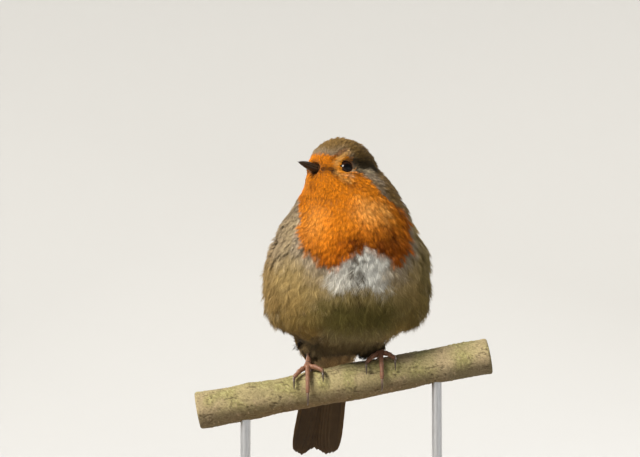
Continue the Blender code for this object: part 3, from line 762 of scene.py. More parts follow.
# the skin sinks by the coat's depth
sunken = outerPoints - outerNormals * (depth * mm)[:, None]
skin.data.vertices.foreach_set("co", sunken.astype(np.float32).ravel())
skin.data.update()
softened(skin, skinMake["settling"])
setColour(skin.data, "plumage", skinColour)
setColour(skin.data, "coatColour", coatColour)
setPoint(skin.data, "lie", "FLOAT_VECTOR", lie)
setPoint(skin.data, "reach", "FLOAT", length * mm)
setPoint(skin.data, "lift", "FLOAT", np.radians(lift))
setPoint(skin.data, "cover", "FLOAT", cover)
skin.data.materials.append(skinMaterial())
print("skin", len(skin.data.polygons), "faces")


# feathers of the coat

featherMake = {
    # one feather: its barbs, their width and looseness, as shares of its length
    "tiny": {"barbs": 14, "barbWidth": 0.070, "loose": 0.04, "arch": 0.05, "stray": 1.05, "wide": 0.30},
    "body": {"barbs": 26, "barbWidth": 0.038, "loose": 0.05, "arch": 0.07, "stray": 1.12, "wide": 0.27},
    "fluff": {"barbs": 28, "barbWidth": 0.027, "loose": 0.09, "arch": 0.06, "stray": 1.35, "wide": 0.30},
    "kinds": 6, "firstSeed": 100,
    "centre": 0.60,  # middle of the rounded end, along the feather
    "turn": (4.0, 100.0),  # degrees round that end, first and last barb
    "barbLength": (0.30, 0.10),
    "softness": 0.72,  # share of the skin's normal in the shading
}


def featherMesh(name, kind, seed):
    # a feather one unit long towards +Y: barbs that run out to a rounded end, each a thin closed spike
    make = featherMake[kind]
    draw = random.Random(seed)
    points, faces, along, streak = [], [], [], []
    half = make["barbs"] // 2
    first, last = featherMake["turn"]
    centre, arch = featherMake["centre"], make["arch"]
    plain, extra = featherMake["barbLength"]
    for i in range(make["barbs"]):
        side = 1.0 if i % 2 else -1.0
        share = ((i // 2) / (half - 1)) ** 1.15
        turn = math.radians(first + (last - first) * share + draw.uniform(-5.0, 5.0))
        reach = draw.uniform(0.74, make["stray"])
        x = side * make["wide"] * math.sin(turn) * reach
        y = centre + (1.0 - centre) * math.cos(turn) * reach
        start = max(0.05, y - (plain + extra * math.sin(turn)) * draw.uniform(0.9, 1.25))
        root = Vector((x * 0.12, start, -arch * start * start))
        tip = Vector((x, y, -arch * y * y - 0.12 * x * x + draw.uniform(-0.35, 1.0) * make["loose"]))
        ahead = (tip - root).normalized()
        across = ahead.cross(Vector((0, 0, 1))).normalized() * make["barbWidth"] * 0.5
        up = across.cross(ahead).normalized() * make["barbWidth"] * 0.22
        base = len(points)
        points += [root - across, root + up, root + across, tip]
        along += [start, start, start, y]
        streak += [draw.random()] * 4
        faces += [[base + k for k in face] for face in ((0, 1, 3), (1, 2, 3), (2, 0, 3), (2, 1, 0))]
    mesh = closedMesh(name, points, faces)
    patch = [(min(1.0, max(0.0, p[0] + 0.5)), min(1.0, p[1] / 1.2), 0.0) for p in points]
    setPoint(mesh, "patch", "FLOAT_VECTOR", patch)
    setPoint(mesh, "along", "FLOAT", along)
    setPoint(mesh, "streak", "FLOAT", streak)
    return mesh


def featherCollection(kind):
    group = bpy.data.collections.new(kind + "Feathers")
    for k in range(featherMake["kinds"]):
        mesh = featherMesh(f"{kind}{k}", kind, featherMake["firstSeed"] + k)
        group.objects.link(bpy.data.objects.new(f"{kind}{k}", mesh))
    return group


growMake = {
    # radians: how far a feather's lift, roll and lie vary, and its size and place in the bake's map
    "lift": (-0.08, 0.11), "roll": (-0.16, 0.16), "size": (0.78, 1.18), "patch": (0.003, 0.003, 0.0),
    "most": 1.8,  # feathers tried for each square of the spacing
}


def coatTree():
    tree = bpy.data.node_groups.new("coat", "GeometryNodeTree")
    face = tree.interface
    face.new_socket("Geometry", in_out="OUTPUT", socket_type="NodeSocketGeometry")
    for name, kind in (
        ("Geometry", "Geometry"), ("Spacing", "Float"), ("Most", "Float"), ("Seed", "Int"),
        ("Wander", "Float"), ("Feathers", "Collection"), ("Finish", "Material"),
    ):
        face.new_socket(name, in_out="INPUT", socket_type="NodeSocket" + kind)
    given, out = tree.nodes.new("NodeGroupInput").outputs, tree.nodes.new("NodeGroupOutput")

    def named(name, kind="FLOAT"):
        return addNode(tree, "GeometryNodeInputNamedAttribute", {"Name": name}, data_type=kind)

    def drawn(low, high, offset):
        seed = math2(tree, "ADD", given["Seed"], offset)
        inputs = {"Min": low, "Max": high, "Seed": seed}
        return addNode(tree, "FunctionNodeRandomValue", inputs, data_type="FLOAT")

    def store(name, kind, domain, geometry, value):
        inputs = {"Name": name, "Geometry": geometry, "Value": value}
        return addNode(tree, "GeometryNodeStoreNamedAttribute", inputs, data_type=kind, domain=domain)

    spread = addNode(tree, "GeometryNodeDistributePointsOnFaces", {
        "Mesh": given["Geometry"], "Distance Min": given["Spacing"], "Density Max": given["Most"],
        "Density Factor": named("cover"), "Seed": given["Seed"],
    }, distribute_method="POISSON").node.outputs

    # upright on the skin, turned to the lie, then lifted, rolled and turned a little
    upright = addNode(tree, "FunctionNodeAlignRotationToVector", {"Vector": spread["Normal"]}, axis="Z")
    laid = addNode(tree, "FunctionNodeAlignRotationToVector", {
        "Rotation": upright, "Vector": named("lie", "FLOAT_VECTOR"),
    }, axis="Y", pivot_axis="Z")
    tilt = addNode(tree, "ShaderNodeCombineXYZ", {
        "X": math2(tree, "ADD", named("lift"), drawn(*growMake["lift"], 1)), "Y": drawn(*growMake["roll"], 2),
        "Z": math2(tree, "MULTIPLY", drawn(-1.0, 1.0, 3), given["Wander"]),
    })
    euler = addNode(tree, "FunctionNodeEulerToRotation", {0: tilt})
    turn = addNode(tree, "FunctionNodeRotateRotation", {
        "Rotation": laid, "Rotate By": euler,
    }, rotation_space="LOCAL")

    pick = addNode(tree, "GeometryNodeCollectionInfo", {
        "Separate Children": True, "Collection": given["Feathers"],
    })
    size = math2(tree, "MULTIPLY", named("reach"), drawn(*growMake["size"], 4))
    which = math2(tree, "MULTIPLY", drawn(0.0, 0.9999, 5), float(featherMake["kinds"]))
    place = addNode(tree, "GeometryNodeInstanceOnPoints", {
        "Points": spread["Points"], "Instance": pick, "Pick Instance": True, "Instance Index": which,
        "Rotation": turn, "Scale": addNode(tree, "ShaderNodeCombineXYZ", {axis: size for axis in "XYZ"}),
    })
    toned = store("tone", "FLOAT", "INSTANCE", place, drawn(0.0, 1.0, 6))
    seated = store("skinNormal", "FLOAT_VECTOR", "INSTANCE", toned, spread["Normal"])
    real = addNode(tree, "GeometryNodeRealizeInstances", {0: seated})
    # each feather has a small patch of the bake's map, at its root's place
    patch = addNode(tree, "ShaderNodeVectorMath", {
        0: named("patch", "FLOAT_VECTOR"), 1: growMake["patch"], 2: named("rootPlace", "FLOAT_VECTOR"),
    }, operation="MULTIPLY_ADD")
    mapped = store("OFBake", "FLOAT2", "CORNER", real, patch)
    finish = addNode(tree, "GeometryNodeSetMaterial", {"Geometry": mapped, "Material": given["Finish"]})
    tree.links.new(finish, out.inputs[0])
    return tree


def setInputs(modifier, values):
    for item in modifier.node_group.interface.items_tree:
        if item.item_type == "SOCKET" and item.in_out == "INPUT" and item.name in values:
            modifier[item.identifier] = values[item.name]


coatRegions = {
    # spacing in mm, kind of feather, how far the feathers wander in their lie (radians), slot
    "face": (0.42, "tiny", 0.24, "plumage_orange"),
    "crown": (0.62, "tiny", 0.26, "plumage_orange"),
    "cheeks": (0.50, "tiny", 0.24, "plumage_orange"),
    "bib_left": (0.70, "body", 0.34, "plumage_pale"),
    "bib_right": (0.70, "body", 0.34, "plumage_pale"),
    "mantle": (0.92, "body", 0.28, "plumage_pale"),
    "belly": (0.80, "fluff", 0.46, "plumage_pale"),
    "flank_left": (0.82, "fluff", 0.34, "plumage_pale"),
    "flank_right": (0.82, "fluff", 0.34, "plumage_pale"),
    "rump": (1.05, "body", 0.28, "plumage_pale"),
    "vent": (1.0, "fluff", 0.40, "plumage_pale"),
    "legs": (0.80, "fluff", 0.22, "plumage_pale"),
}


def regionOfFaces():
    quads = np.array([(*f.vertices, f.vertices[-1])[:4] for f in skin.data.polygons])
    head, body, reach, thigh = (v[quads].mean(axis=1) for v in (headPlace, bodyPlace, billReach, thighShare))
    turn, height = aroundBody(body), body[:, 2]
    back = np.abs(turn) > 100.0
    upper = (~back & (height >= 56.0)) | ((np.abs(turn) < 50.0) & (height > 47.0))
    onHead = head[:, 2] > -13.0
    names = list(coatRegions)
    region = np.full(len(quads), names.index("belly"))
    for name, where in (
        ("flank_left", (turn > 40.0) & ~back), ("flank_right", (turn < -40.0) & ~back),
        ("bib_left", upper & (turn > -8.0)), ("bib_right", upper & (turn <= -8.0)),
        ("mantle", back & (height > 44.0)), ("rump", back & (height <= 44.0)),
        ("vent", height < 17.0), ("legs", thigh > 0.5), ("cheeks", onHead),
        ("crown", onHead & ((head[:, 2] > 3.0) | (head[:, 1] > 4.0))), ("face", onHead & (reach < 10.5)),
    ):
        region[where] = names.index(name)
    return region


def makeCoat():
    region = regionOfFaces()
    for number, (name, (spacing, kind, wander, slot)) in enumerate(coatRegions.items()):
        shape = bmesh.new()
        shape.from_mesh(skin.data)
        shape.faces.ensure_lookup_table()
        others = [shape.faces[i] for i in np.nonzero(region != number)[0]]
        bmesh.ops.delete(shape, geom=others, context="FACES")
        patch = addMesh("coat_" + name, meshOf(shape, name))
        patch.data.uv_layers.new(name="rootPlace")
        bpy.context.view_layer.objects.active = patch
        patch.select_set(True)
        bpy.ops.object.mode_set(mode="EDIT")
        bpy.ops.mesh.select_all(action="SELECT")
        bpy.ops.uv.smart_project(angle_limit=math.radians(66.0), island_margin=0.01)
        bpy.ops.object.mode_set(mode="OBJECT")
        patch.select_set(False)
        growFeathers(patch, spacing, kind, wander, 10 + number)
        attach(patch, "root")


def growFeathers(patch, spacing, kind, wander, seed):
    grow = patch.modifiers.new("coat", "NODES")
    grow.node_group = coatNodes
    setInputs(grow, {
        "Spacing": spacing * mm, "Most": growMake["most"] / (spacing * mm) ** 2, "Seed": seed,
        "Wander": wander, "Feathers": featherGroups[kind], "Finish": coatFinish,
    })
    plainMesh(patch)
    softenShading(patch.data)
    print(patch.name, len(patch.data.polygons), "faces")


def softenShading(mesh):
    # a feather takes most of its light as the body under it does
    count = len(mesh.vertices)
    seat = readVectors(mesh.attributes["skinNormal"].data, "vector", count)
    share = featherMake["softness"]
    normals = unit(seat * share + readVectors(mesh.vertex_normals, "vector", count) * (1.0 - share))
    mesh.normals_split_custom_set_from_vertices(normals.tolist())
    mesh.attributes.remove(mesh.attributes["skinNormal"])


coatNodes = coatTree()
featherGroups = {kind: featherCollection(kind) for kind in ("tiny", "body", "fluff")}
coatFinish = plumageMaterial()
makeCoat()
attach(skin, "root")
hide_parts(*skinMake["flesh"])


# flight feathers and their coverts

vaneLook = {
    "columns": (-1.0, -0.72, -0.38, -0.09, 0.0, 0.09, 0.38, 0.72, 1.0),
    "thickness": 0.16, "shaftRise": 0.12,  # mm
    "web": (0.085, 0.053, 0.024), "webDark": (0.055, 0.036, 0.019), "edge": (0.285, 0.180, 0.068),
    "covert": (0.195, 0.120, 0.043), "tipSpot": (0.46, 0.28, 0.10), "shaft": (0.045, 0.030, 0.018),
    "tailWeb": (0.062, 0.041, 0.021), "tailEdge": (0.145, 0.090, 0.037),
}


def vaneWidth(t, rootShare, roundness):
    # width along a vane: narrow root, full middle, rounded tip
    grow = rootShare + (1.0 - rootShare) * step(0.0, 0.35, t)
    return grow * np.clip(1.0 - np.clip((t - 0.72) / 0.28, 0.0, 1.0) ** roundness, 0.0, 1.0) ** 0.5


def makeVane(place, size, colours, seed, rows=20, rootShare=0.4, roundness=2.4, camber=0.3,
             shaftShift=0.0, wear=0.05):
    # place(t, x mm) gives the points and their outward normals; size is (length, half width) in mm
    draw = np.random.default_rng(seed)
    t = np.linspace(0.0, 1.0, rows) ** 0.85
    columns = np.array(vaneLook["columns"])
    long, half = size
    width = vaneWidth(t, rootShare, roundness) * half + 0.04
    wornLeft = 1.0 - wear * draw.random(rows) ** 2
    wornRight = 1.0 - wear * draw.random(rows) ** 2
    shaped = columns * np.where(columns < 0, wornLeft[:, None], wornRight[:, None])
    lean = (1.0 - np.abs(columns)) * shaftShift  # the shaft may stand nearer one edge
    x = ((shaped + lean) * width[:, None]).ravel()
    along = np.repeat(t, len(columns))
    points, normals = place(along, x)
    rise = (-camber * shaped**2 * (width[:, None] / half)).ravel()
    ridge = (np.abs(columns) < 0.05) * (1.0 - 0.75 * t[:, None]) * vaneLook["shaftRise"]
    top = points + normals * (rise + ridge.ravel())[:, None]
    bottom = points + normals * (rise - vaneLook["thickness"])[:, None]
    wide, shift = len(columns), len(x)
    faces = []
    for face in gridFaces(rows, wide):
        faces += [face, tuple(k + shift for k in reversed(face))]
    rim = list(range(wide)) + [i * wide + wide - 1 for i in range(1, rows)]
    rim += [(rows - 1) * wide + k for k in range(wide - 2, -1, -1)]
    rim += [i * wide for i in range(rows - 2, 0, -1)]
    faces += [(b, a, a + shift, b + shift) for a, b in zip(rim, rim[1:] + rim[:1])]
    mesh = closedMesh("vane", outOf(bodyFrame, np.concatenate([top, bottom])), faces)
    share = np.abs(shaped).ravel()
    paint = np.repeat([np.array(colours["web"]) * draw.uniform(0.88, 1.12)], len(share), axis=0)
    outer = np.where(shaped.ravel() * colours["outer"] > 0, 1.0, colours["inner"])
    tip = step(1.0 - colours.get("tipSize", 0.08), 1.0, along) * colours["tipShare"]
    paint = tinted(paint, colours["edge"], step(0.60, 0.95, share) * outer)
    paint = tinted(paint, colours["tip"], tip)
    paint = tinted(paint, colours["shaft"], step(0.10, 0.02, share) * 0.8)
    paint *= (1.0 - colours.get("core", 0.0) * step(0.55, 0.1, share))[:, None]  # a darker middle
    paint *= (0.62 + 0.38 * step(0.0, 0.45, along))[:, None]
    setColour(mesh, "plumage", np.concatenate([paint, paint * 0.8]))
    barb = np.stack([x, along * long, np.full(x.size, draw.random())], axis=1)
    setPoint(mesh, "barb", "FLOAT_VECTOR", np.concatenate([barb, barb]))
    return mesh


wingFeathers = {
    # heights over the wing's surface in mm go up from "ground" by one layer for each flight feather
    "ground": -1.7, "layer": 0.105, "primaryCoverts": -0.55, "greatCoverts": -0.3,
    "sinkEdge": 1.0, "tipSink": 0.8,
    "shoulderHeight": -0.9, "shoulderSpacing": 0.82,
    # root, tip and half width of each
    "tertials": (
        ((13.0, 3.6), (51.0, 2.6), 3.9), ((11.0, 5.0), (45.0, 4.8), 4.2), ((9.0, 6.6), (38.0, 7.0), 4.3),
    ),
}


def wingSheet(sign):
    # points and normals of the wing's middle surface, by share along and mm across
    rows = np.linspace(-wingMake["reach"], wingMake["reach"], wingMake["rows"])
    reach = np.zeros((len(wingShares), len(rows)))
    axes = np.zeros((len(wingShares), len(rows), 3))
    aways = np.zeros_like(axes)
    for i, s in enumerate(wingShares):
        guide = wingLine[i] + wingUp[i] * rows[:, None]
        axis = nearestOnAxis(guide)
        away = unit(guide - axis)
        start = outOf(bodyFrame, axis * (sign, 1, 1))
        heading = turned(bodyFrame, away * (sign, 1, 1))
        for k in range(len(rows)):
            hit = outerTree.ray_cast(Vector(start[k]), Vector(heading[k]))
            own = np.linalg.norm(guide[k] - axis[k]) * min(1.0, max(0.0, 2.5 * s - 1.0))
            reach[i, k] = max(0.0 if hit[0] is None else hit[3] / mm, own)
        axes[i], aways[i] = axis, away
    for _ in range(6):
        padded = np.pad(reach, 1, mode="edge")
        nextTo = padded[:-2, 1:-1] + padded[2:, 1:-1] + padded[1:-1, :-2] + padded[1:-1, 2:]
        reach = (nextTo + 4 * reach) / 8.0
    points = axes + aways * (reach + 0.9)[..., None]
    normals = unit(np.cross(np.gradient(points, axis=1), np.gradient(points, axis=0)))
    flip = np.sum(normals * aways, axis=-1, keepdims=True) < 0
    return rows, points, np.where(flip, -normals, normals)


def readSheet(sheet, sign, p, q, height):
    rows, points, normals = sheet
    down = np.clip(np.interp(p, wingLength, np.arange(len(wingLength))), 0, len(wingLength) - 1.001)
    over = np.clip((q - rows[0]) / (rows[1] - rows[0]), 0, len(rows) - 1.001)
    i, k = down.astype(int), over.astype(int)
    u, v = (down - i)[:, None], (over - k)[:, None]

    def blend(grid):
        low = grid[i, k] * (1 - v) + grid[i, k + 1] * v
        high = grid[i + 1, k] * (1 - v) + grid[i + 1, k + 1] * v
        return low * (1 - u) + high * u

    normal = unit(blend(normals))
    beyond = np.maximum(p - wingLength[-1], 0.0)[:, None] * wingAhead[-1]
    place = blend(points) + beyond + normal * height[:, None]
    return place * (sign, 1, 1), normal * (sign, 1, 1)


def wingVane(sheet, sign, root, tip, half, height, colours, seed, **shape):
    root, run = np.array(root), np.subtract(tip, root)
    long = float(np.linalg.norm(run))
    side = np.array((-run[1], run[0])) / long
    make = wingFeathers

    def place(t, x):
        p = root[0] + run[0] * t + side[0] * x
        q = root[1] + run[1] * t + side[1] * x
        # held softly inside the wing's outline, its edges and its tip sunk a little
        outline = np.maximum(np.interp(p, wingLength, wingHalf), 0.6)
        share = np.abs(q) / outline
        share = np.where(share > 0.75, 0.75 + 0.25 * np.tanh((share - 0.75) / 0.25), share)
        q = np.sign(q) * share * outline
        sink = step(0.6, 1.0, share) * make["sinkEdge"] * (step(56.0, 36.0, p) + 0.8 * step(24.0, 12.0, p))
        sink = sink + make["tipSink"] * step(30.0, 60.0, p)
        level = height[0] + (height[1] - height[0]) * t
        return readSheet(sheet, sign, p, q, level - sink)

    return makeVane(place, (long, half), colours, seed, **shape)


def makeWing(side, sign):
    sheet = wingSheet(sign)
    look, make = vaneLook, wingFeathers
    layer = make["layer"]
    flight = {
        "web": look["web"], "edge": look["edge"], "tip": look["edge"], "shaft": look["shaft"],
        "outer": -1.0, "inner": 0.1, "tipShare": 0.4,
    }
    covert = dict(flight, web=look["covert"], inner=0.5, tipShare=0.5, tipSize=0.15, core=0.35)
    spotted = dict(covert, tip=look["tipSpot"], tipShare=0.85, tipSize=0.10)
    vanes = []
    level = make["ground"]
    seed = 0 if side == "left" else 500

    def add(root, tip, half, rise, colours, sunk, **shape):
        # sunk: how much lower the feather's root lies, in mm
        nonlocal level, seed
        level += rise
        seed += 1
        vanes.append(wingVane(sheet, sign, root, tip, half, (level - sunk, level), colours, seed, **shape))

    for s in shares(9):  # primaries, from the longest and lowest
        root, tip = (24.0 - 4 * s, -5.0 + 2.5 * s), (75.0 - 19.0 * s**1.2, -0.9 + 1.5 * s - 1.8 * s * s)
        add(root, tip, 2.3 + 1.0 * s, layer, flight, 1.0, rows=26, roundness=2.0, shaftShift=-0.45)
    for s in shares(6):  # secondaries
        root, tip = (17.0 - 3 * s, -2.0 + 4.0 * s), (54.0 - 4.0 * s, -3.0 + 4.6 * s)
        add(root, tip, 3.5, layer, flight, 1.0, rows=24, roundness=2.6, shaftShift=-0.3)
    for root, tip, half in make["tertials"]:
        add(root, tip, half, layer * 1.3, dict(flight, inner=0.6), 1.0, rows=24, roundness=2.6, camber=0.45)
    level = make["primaryCoverts"]
    for s in shares(5):
        add((15.0 - s, -7.4 + 3.2 * s), (34.0 - 2.6 * s, -6.8 + 3.6 * s), 1.9, 0.05, flight, 0.8, rows=16)
    for i in range(2):  # alula
        root, tip = (8.0 + i, -8.6 + i), (26.0 - 5 * i, -7.6 + 0.9 * i)
        add(root, tip, 2.1, 0.08, dict(flight, web=look["webDark"]), 0.8, rows=16)
    level = make["greatCoverts"]
    for s in shares(10):
        bow = math.sin(math.pi * s)
        root, tip = (9.0 - 2.0 * s, -6.5 + 14.5 * s), (29.5 - 4.0 * s + 1.6 * bow, -6.0 + 14.6 * s)
        add(root, tip, 2.3, 0.045, spotted, 0.9, rows=18, roundness=2.0, camber=0.4)
    for s in shares(9):  # median coverts
        bow = math.sin(math.pi * s)
        root, tip = (5.0 - s, -7.0 + 15.0 * s), (19.0 - 2.6 * s + 1.0 * bow, -6.8 + 14.8 * s)
        add(root, tip, 2.2, 0.03, covert, 1.5, rows=13, roundness=2.0, camber=0.4)
    wing = joinMeshes("plumes_wing_" + side, vanes)
    wing.data.materials.append(vaneFinish)
    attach(wing, "root")
    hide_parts("wing_" + side)
    print("wing", side, len(wing.data.polygons))
    makeShoulder(side, sign, sheet)


def shares(count):
    return [i / (count - 1) for i in range(count)]


def makeShoulder(side, sign, sheet):
    # small feathers over the bend of the wing, and along both its edges where the body's feathers lap over it
    make = wingFeathers
    ps, qs = np.linspace(-1.0, 50.0, 52), np.linspace(-13.5, 13.5, 32)
    p, q = (grid.ravel() for grid in np.meshgrid(ps, qs, indexing="ij"))
    half = np.interp(p, wingLength, wingHalf)
    fromFront, fromBack = q + half, half - q
    bend = step(20.0, 12.5, p + 2.2 * np.sin(q * 1.1) + 1.2 * np.sin(q * 2.7 + 1.0))
    front = step(4.2, 1.6, fromFront) * step(46.0, 34.0, p)
    back = step(3.0, 1.0, fromBack) * step(32.0, 20.0, p)
    inside = step(-3.0, -1.5, fromFront) * step(-3.0, -1.5, fromBack)
    sunk = 1.3 * step(3.0, -1.0, np.minimum(fromFront, fromBack))
    sunk = sunk + 0.7 * np.maximum(front, back) * (1.0 - bend)
    places, normals = readSheet(sheet, sign, p, q, make["shoulderHeight"] - sunk)
    world = outOf(bodyFrame, places)
    wide = len(qs)
    mesh = meshFrom("shoulder", world, gridFaces(len(ps), wide))
    middle = wide * 10 + 16
    if Vector(turned(bodyFrame, normals)[middle]).dot(mesh.vertices[middle].normal) < 0:
        mesh.flip_normals()
    near = np.argmin(np.abs(p[:, None] - wingLength[None, :]), axis=1)
    ahead, up = wingAhead[near] * (sign, 1, 1), wingUp[near] * (sign, 1, 1)
    way = ahead + up * (0.55 * front * (1.0 - bend) - 0.35 * back)[:, None]
    flow = unit(turned(bodyFrame, unit(way)) + ripples(world, 0.006, 51.0) * 0.25)
    long = (3.4 + 0.12 * np.clip(p, 0, 17)) * bend + 5.2 * (1.0 - bend)
    rough = ripple(world, 0.0045, 3.0)
    olive = np.array(markings["olive"]) * (0.95 + 0.12 * rough)[:, None]
    colour = tinted(paintPlumage(world + flow * 0.003), olive, step(2.0, 6.5, fromFront) + 0.25 * bend)
    setColour(mesh, "coatColour", np.clip(colour, 0, 1))
    setPoint(mesh, "lie", "FLOAT_VECTOR", flow)
    setPoint(mesh, "reach", "FLOAT", long * mm)
    setPoint(mesh, "lift", "FLOAT", np.radians(11.0 + 4.0 * rough + 9.0 * step(0.4, 0.9, rough)))
    setPoint(mesh, "cover", "FLOAT", np.maximum.reduce([bend, front, back]) * inside)
    corners = np.zeros(len(mesh.loops), np.int32)
    mesh.loops.foreach_get("vertex_index", corners)
    spread = np.stack([(p - ps[0]) / (ps[-1] - ps[0]), (q - qs[0]) / (qs[-1] - qs[0])], axis=1) * 0.98 + 0.01
    mesh.uv_layers.new(name="rootPlace").data.foreach_set("uv", spread[corners].astype(np.float32).ravel())
    patch = addMesh("coat_shoulder_" + side, mesh)
    growFeathers(patch, make["shoulderSpacing"], "body", 0.30, 80 + int(sign))
    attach(patch, "root")


tailMake = {
    "root": (-1.4, 17.0, 24.0), "tip": (-1.0, 60.0, -29.5), "rootHalf": 6.6, "endHalf": 10.6, "notch": 2.2,
    "bow": 1.5, "half": 3.1, "step": 0.17, "each": 6, "split": 0.45,
}


def makeTail():
    make, look = tailMake, vaneLook
    root, tip = np.array(make["root"]), np.array(make["tip"])
    ahead = unit(tip - root)
    long = float(np.linalg.norm(tip - root))
    outward = unit(np.array((0.0, -ahead[2], ahead[1])))
    outward = outward if outward[1] > 0 else -outward
    vanes = []
    for side, sign in sides:
        for i, s in enumerate(shares(make["each"])):  # s is 0 at the middle of the tail
            reach = long - make["notch"] * (1.0 - step(0.0, 0.6, s)) - 1.9 * step(0.55, 1.0, s)
            reach = reach + 0.2 * math.sin(i * 5.0 + sign)
            level = 0.55 - i * make["step"] - (0.05 if sign < 0 else 0.0)
            colours = {
                "web": look["tailWeb"], "edge": look["tailEdge"], "tip": look["tailEdge"],
                "shaft": look["shaft"], "outer": sign, "inner": 0.2, "tipShare": 0.5, "tipSize": 0.05,
            }

            def place(t, x, s=s, sign=sign, reach=reach, level=level):
                spread = (make["rootHalf"] - make["half"] * 0.6) * (1 - t)
                spread = spread + (make["endHalf"] - make["half"]) * t
                across = sign * (0.10 + 0.90 * s) * spread + sign * make["split"] * t + x
                bow = make["bow"] * (1.0 - (across / 11.0) ** 2) * (0.4 + 0.6 * t)
                bow = bow + 0.35 * np.sin(t * 3.0) * s
                points = root + ahead * (reach * t)[:, None] + np.array((1.0, 0.0, 0.0)) * across[:, None]
                points = points + outward * (bow + level)[:, None]
                return points, np.repeat([outward], len(t), axis=0)

            vanes.append(makeVane(
                place, (reach, make["half"]), colours, 900 + i + (50 if sign > 0 else 0), rows=28,
                rootShare=0.6, roundness=3.4, camber=0.16, shaftShift=0.3 * sign * s, wear=0.03))
    tail = joinMeshes("plumes_tail", vanes)
    tail.data.materials.append(vaneFinish)
    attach(tail, "root")
    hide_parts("tail")
    print("tail", len(tail.data.polygons))


vaneFinish = vaneMaterial()
for side, sign in sides:
    makeWing(side, sign)
makeTail()


# bill, eyes, lids and bristles

billMake = {
    "root": -12.0, "tip": -25.0, "level": -3.6, "halfWidth": 2.6, "upper": 2.1, "lower": 1.65, "hook": 0.5,
    "shorter": 0.6, "gap": 0.35, "stations": 30, "around": 22, "nostrils": (0.30 * math.pi, 0.70 * math.pi),
    "horn": (0.032, 0.017, 0.008), "base": (0.085, 0.042, 0.017), "edge": (0.120, 0.075, 0.040),
    "tipShade": (0.055, 0.038, 0.026),
}


def makeMandible(name, side):
    make = billMake
    deep = make["upper"] if side > 0 else make["lower"]
    tip = make["tip"] if side > 0 else make["tip"] + make["shorter"]
    hook = make["hook"] * (1.0 if side > 0 else 0.4)
    rings, paint = [], []
    for i in range(make["stations"]):
        along = i / make["stations"]
        taper = (1.0 - along) ** 0.62
        level = make["level"] + side * make["gap"] * 0.5 - hook * along**5
        middle = np.array((0.0, make["root"] + (tip - make["root"]) * along, level))
        half = make["halfWidth"] * taper
        high = deep * (0.22 + 0.78 * taper) * (1.0 - along**6)
        ring = []
        for k in range(make["around"]):
            a = math.pi * k / (make["around"] - 1)
            pit = 0.0
            for spot in make["nostrils"] if side > 0 else ():
                pit += 0.22 * math.exp(-(((a - spot) / 0.16) ** 2) - (((along - 0.17) / 0.05) ** 2))
            r = 1.0 + 0.05 * math.exp(-(((a - math.pi / 2) / 0.16) ** 2)) - pit  # the culmen's keel
            rise = side * high * math.sin(a) ** 0.85 * r
            ring.append(middle + np.array((half * math.cos(a) * r, 0.0, rise)))
            shade = tinted(make["horn"], make["edge"], 0.6 * math.exp(-((math.sin(a) / 0.22) ** 2)))
            shade = tinted(shade, make["base"], step(0.30, 0.0, along))
            # the nostril pits are painted dark, as shade in them
            paint.append(tinted(shade, make["tipShade"], step(0.75, 1.0, along)) * (1.0 - 3.4 * pit))
        rings.append(outOf(headFrame, ring))
    end = np.array((0.0, tip, make["level"] + side * 0.25 - hook))
    mesh = tubeMesh(name, rings, None, outOf(headFrame, end))
    setColour(mesh, "paint", np.array(paint + [make["tipShade"]]))
    piece = addMesh("horn_" + name, mesh, attributeMaterial(name + "_horn", 0.46, 0.20, 0.02, 0.10, 1500.0))
    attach(piece, "root")
    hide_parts(name)


eyeMake = {
    "radius": 3.2, "axis": (0.86, -0.50, 0.02), "forward": (0.0, -1.0, -0.30), "rows": 40, "around": 56,
    "pupil": 27.0, "iris": 50.0,  # degrees from the axis
    "pupilShade": (0.002, 0.002, 0.002), "irisShade": (0.020, 0.008, 0.004),
    "rimShade": (0.006, 0.005, 0.004),
}
lidMake = {
    "open": 61.0, "corner": 7.0, "thick": 0.30, "out": 3.22, "shade": (0.030, 0.020, 0.012),
    "turns": 64, "profile": 12,
}


def eyeBasis(sign):
    axis = unit(np.array(eyeMake["axis"])) * (sign, 1, 1)
    forward = unit(np.array(eyeMake["forward"]) - axis * np.dot(eyeMake["forward"], axis))
    return axis, forward, np.cross(axis, forward)


def makeEye(side, sign):
    make = eyeMake
    axis, forward, up = eyeBasis(sign)
    middle = eyeMiddle * (sign, 1, 1)
    rings, paint = [], []
    for i in range(1, make["rows"]):
        polar = math.pi * i / make["rows"]
        a = np.linspace(0, 2 * math.pi, make["around"], endpoint=False)[:, None]
        away = forward * np.cos(a) + up * np.sin(a)
        ring = middle + make["radius"] * (axis * math.cos(polar) + away * math.sin(polar))
        rings.append(outOf(headFrame, ring))
        degrees = math.degrees(polar)
        iris = step(make["pupil"] - 1.5, make["pupil"] + 1.5, degrees)
        shade = tinted(make["pupilShade"], make["irisShade"], iris)
        shade = tinted(shade, make["rimShade"], step(make["iris"] - 3, make["iris"] + 3, degrees))
        paint += [shade] * make["around"]
    ends = [outOf(headFrame, middle + make["radius"] * axis * way) for way in (1, -1)]
    mesh = tubeMesh("eye", rings, *ends)
    setColour(mesh, "paint", np.array(paint + [make["pupilShade"], make["rimShade"]]))
    ball = addMesh("ball_eye_" + side, mesh, eyeFinish)
    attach(ball, "root")
    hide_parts("eye_" + side)


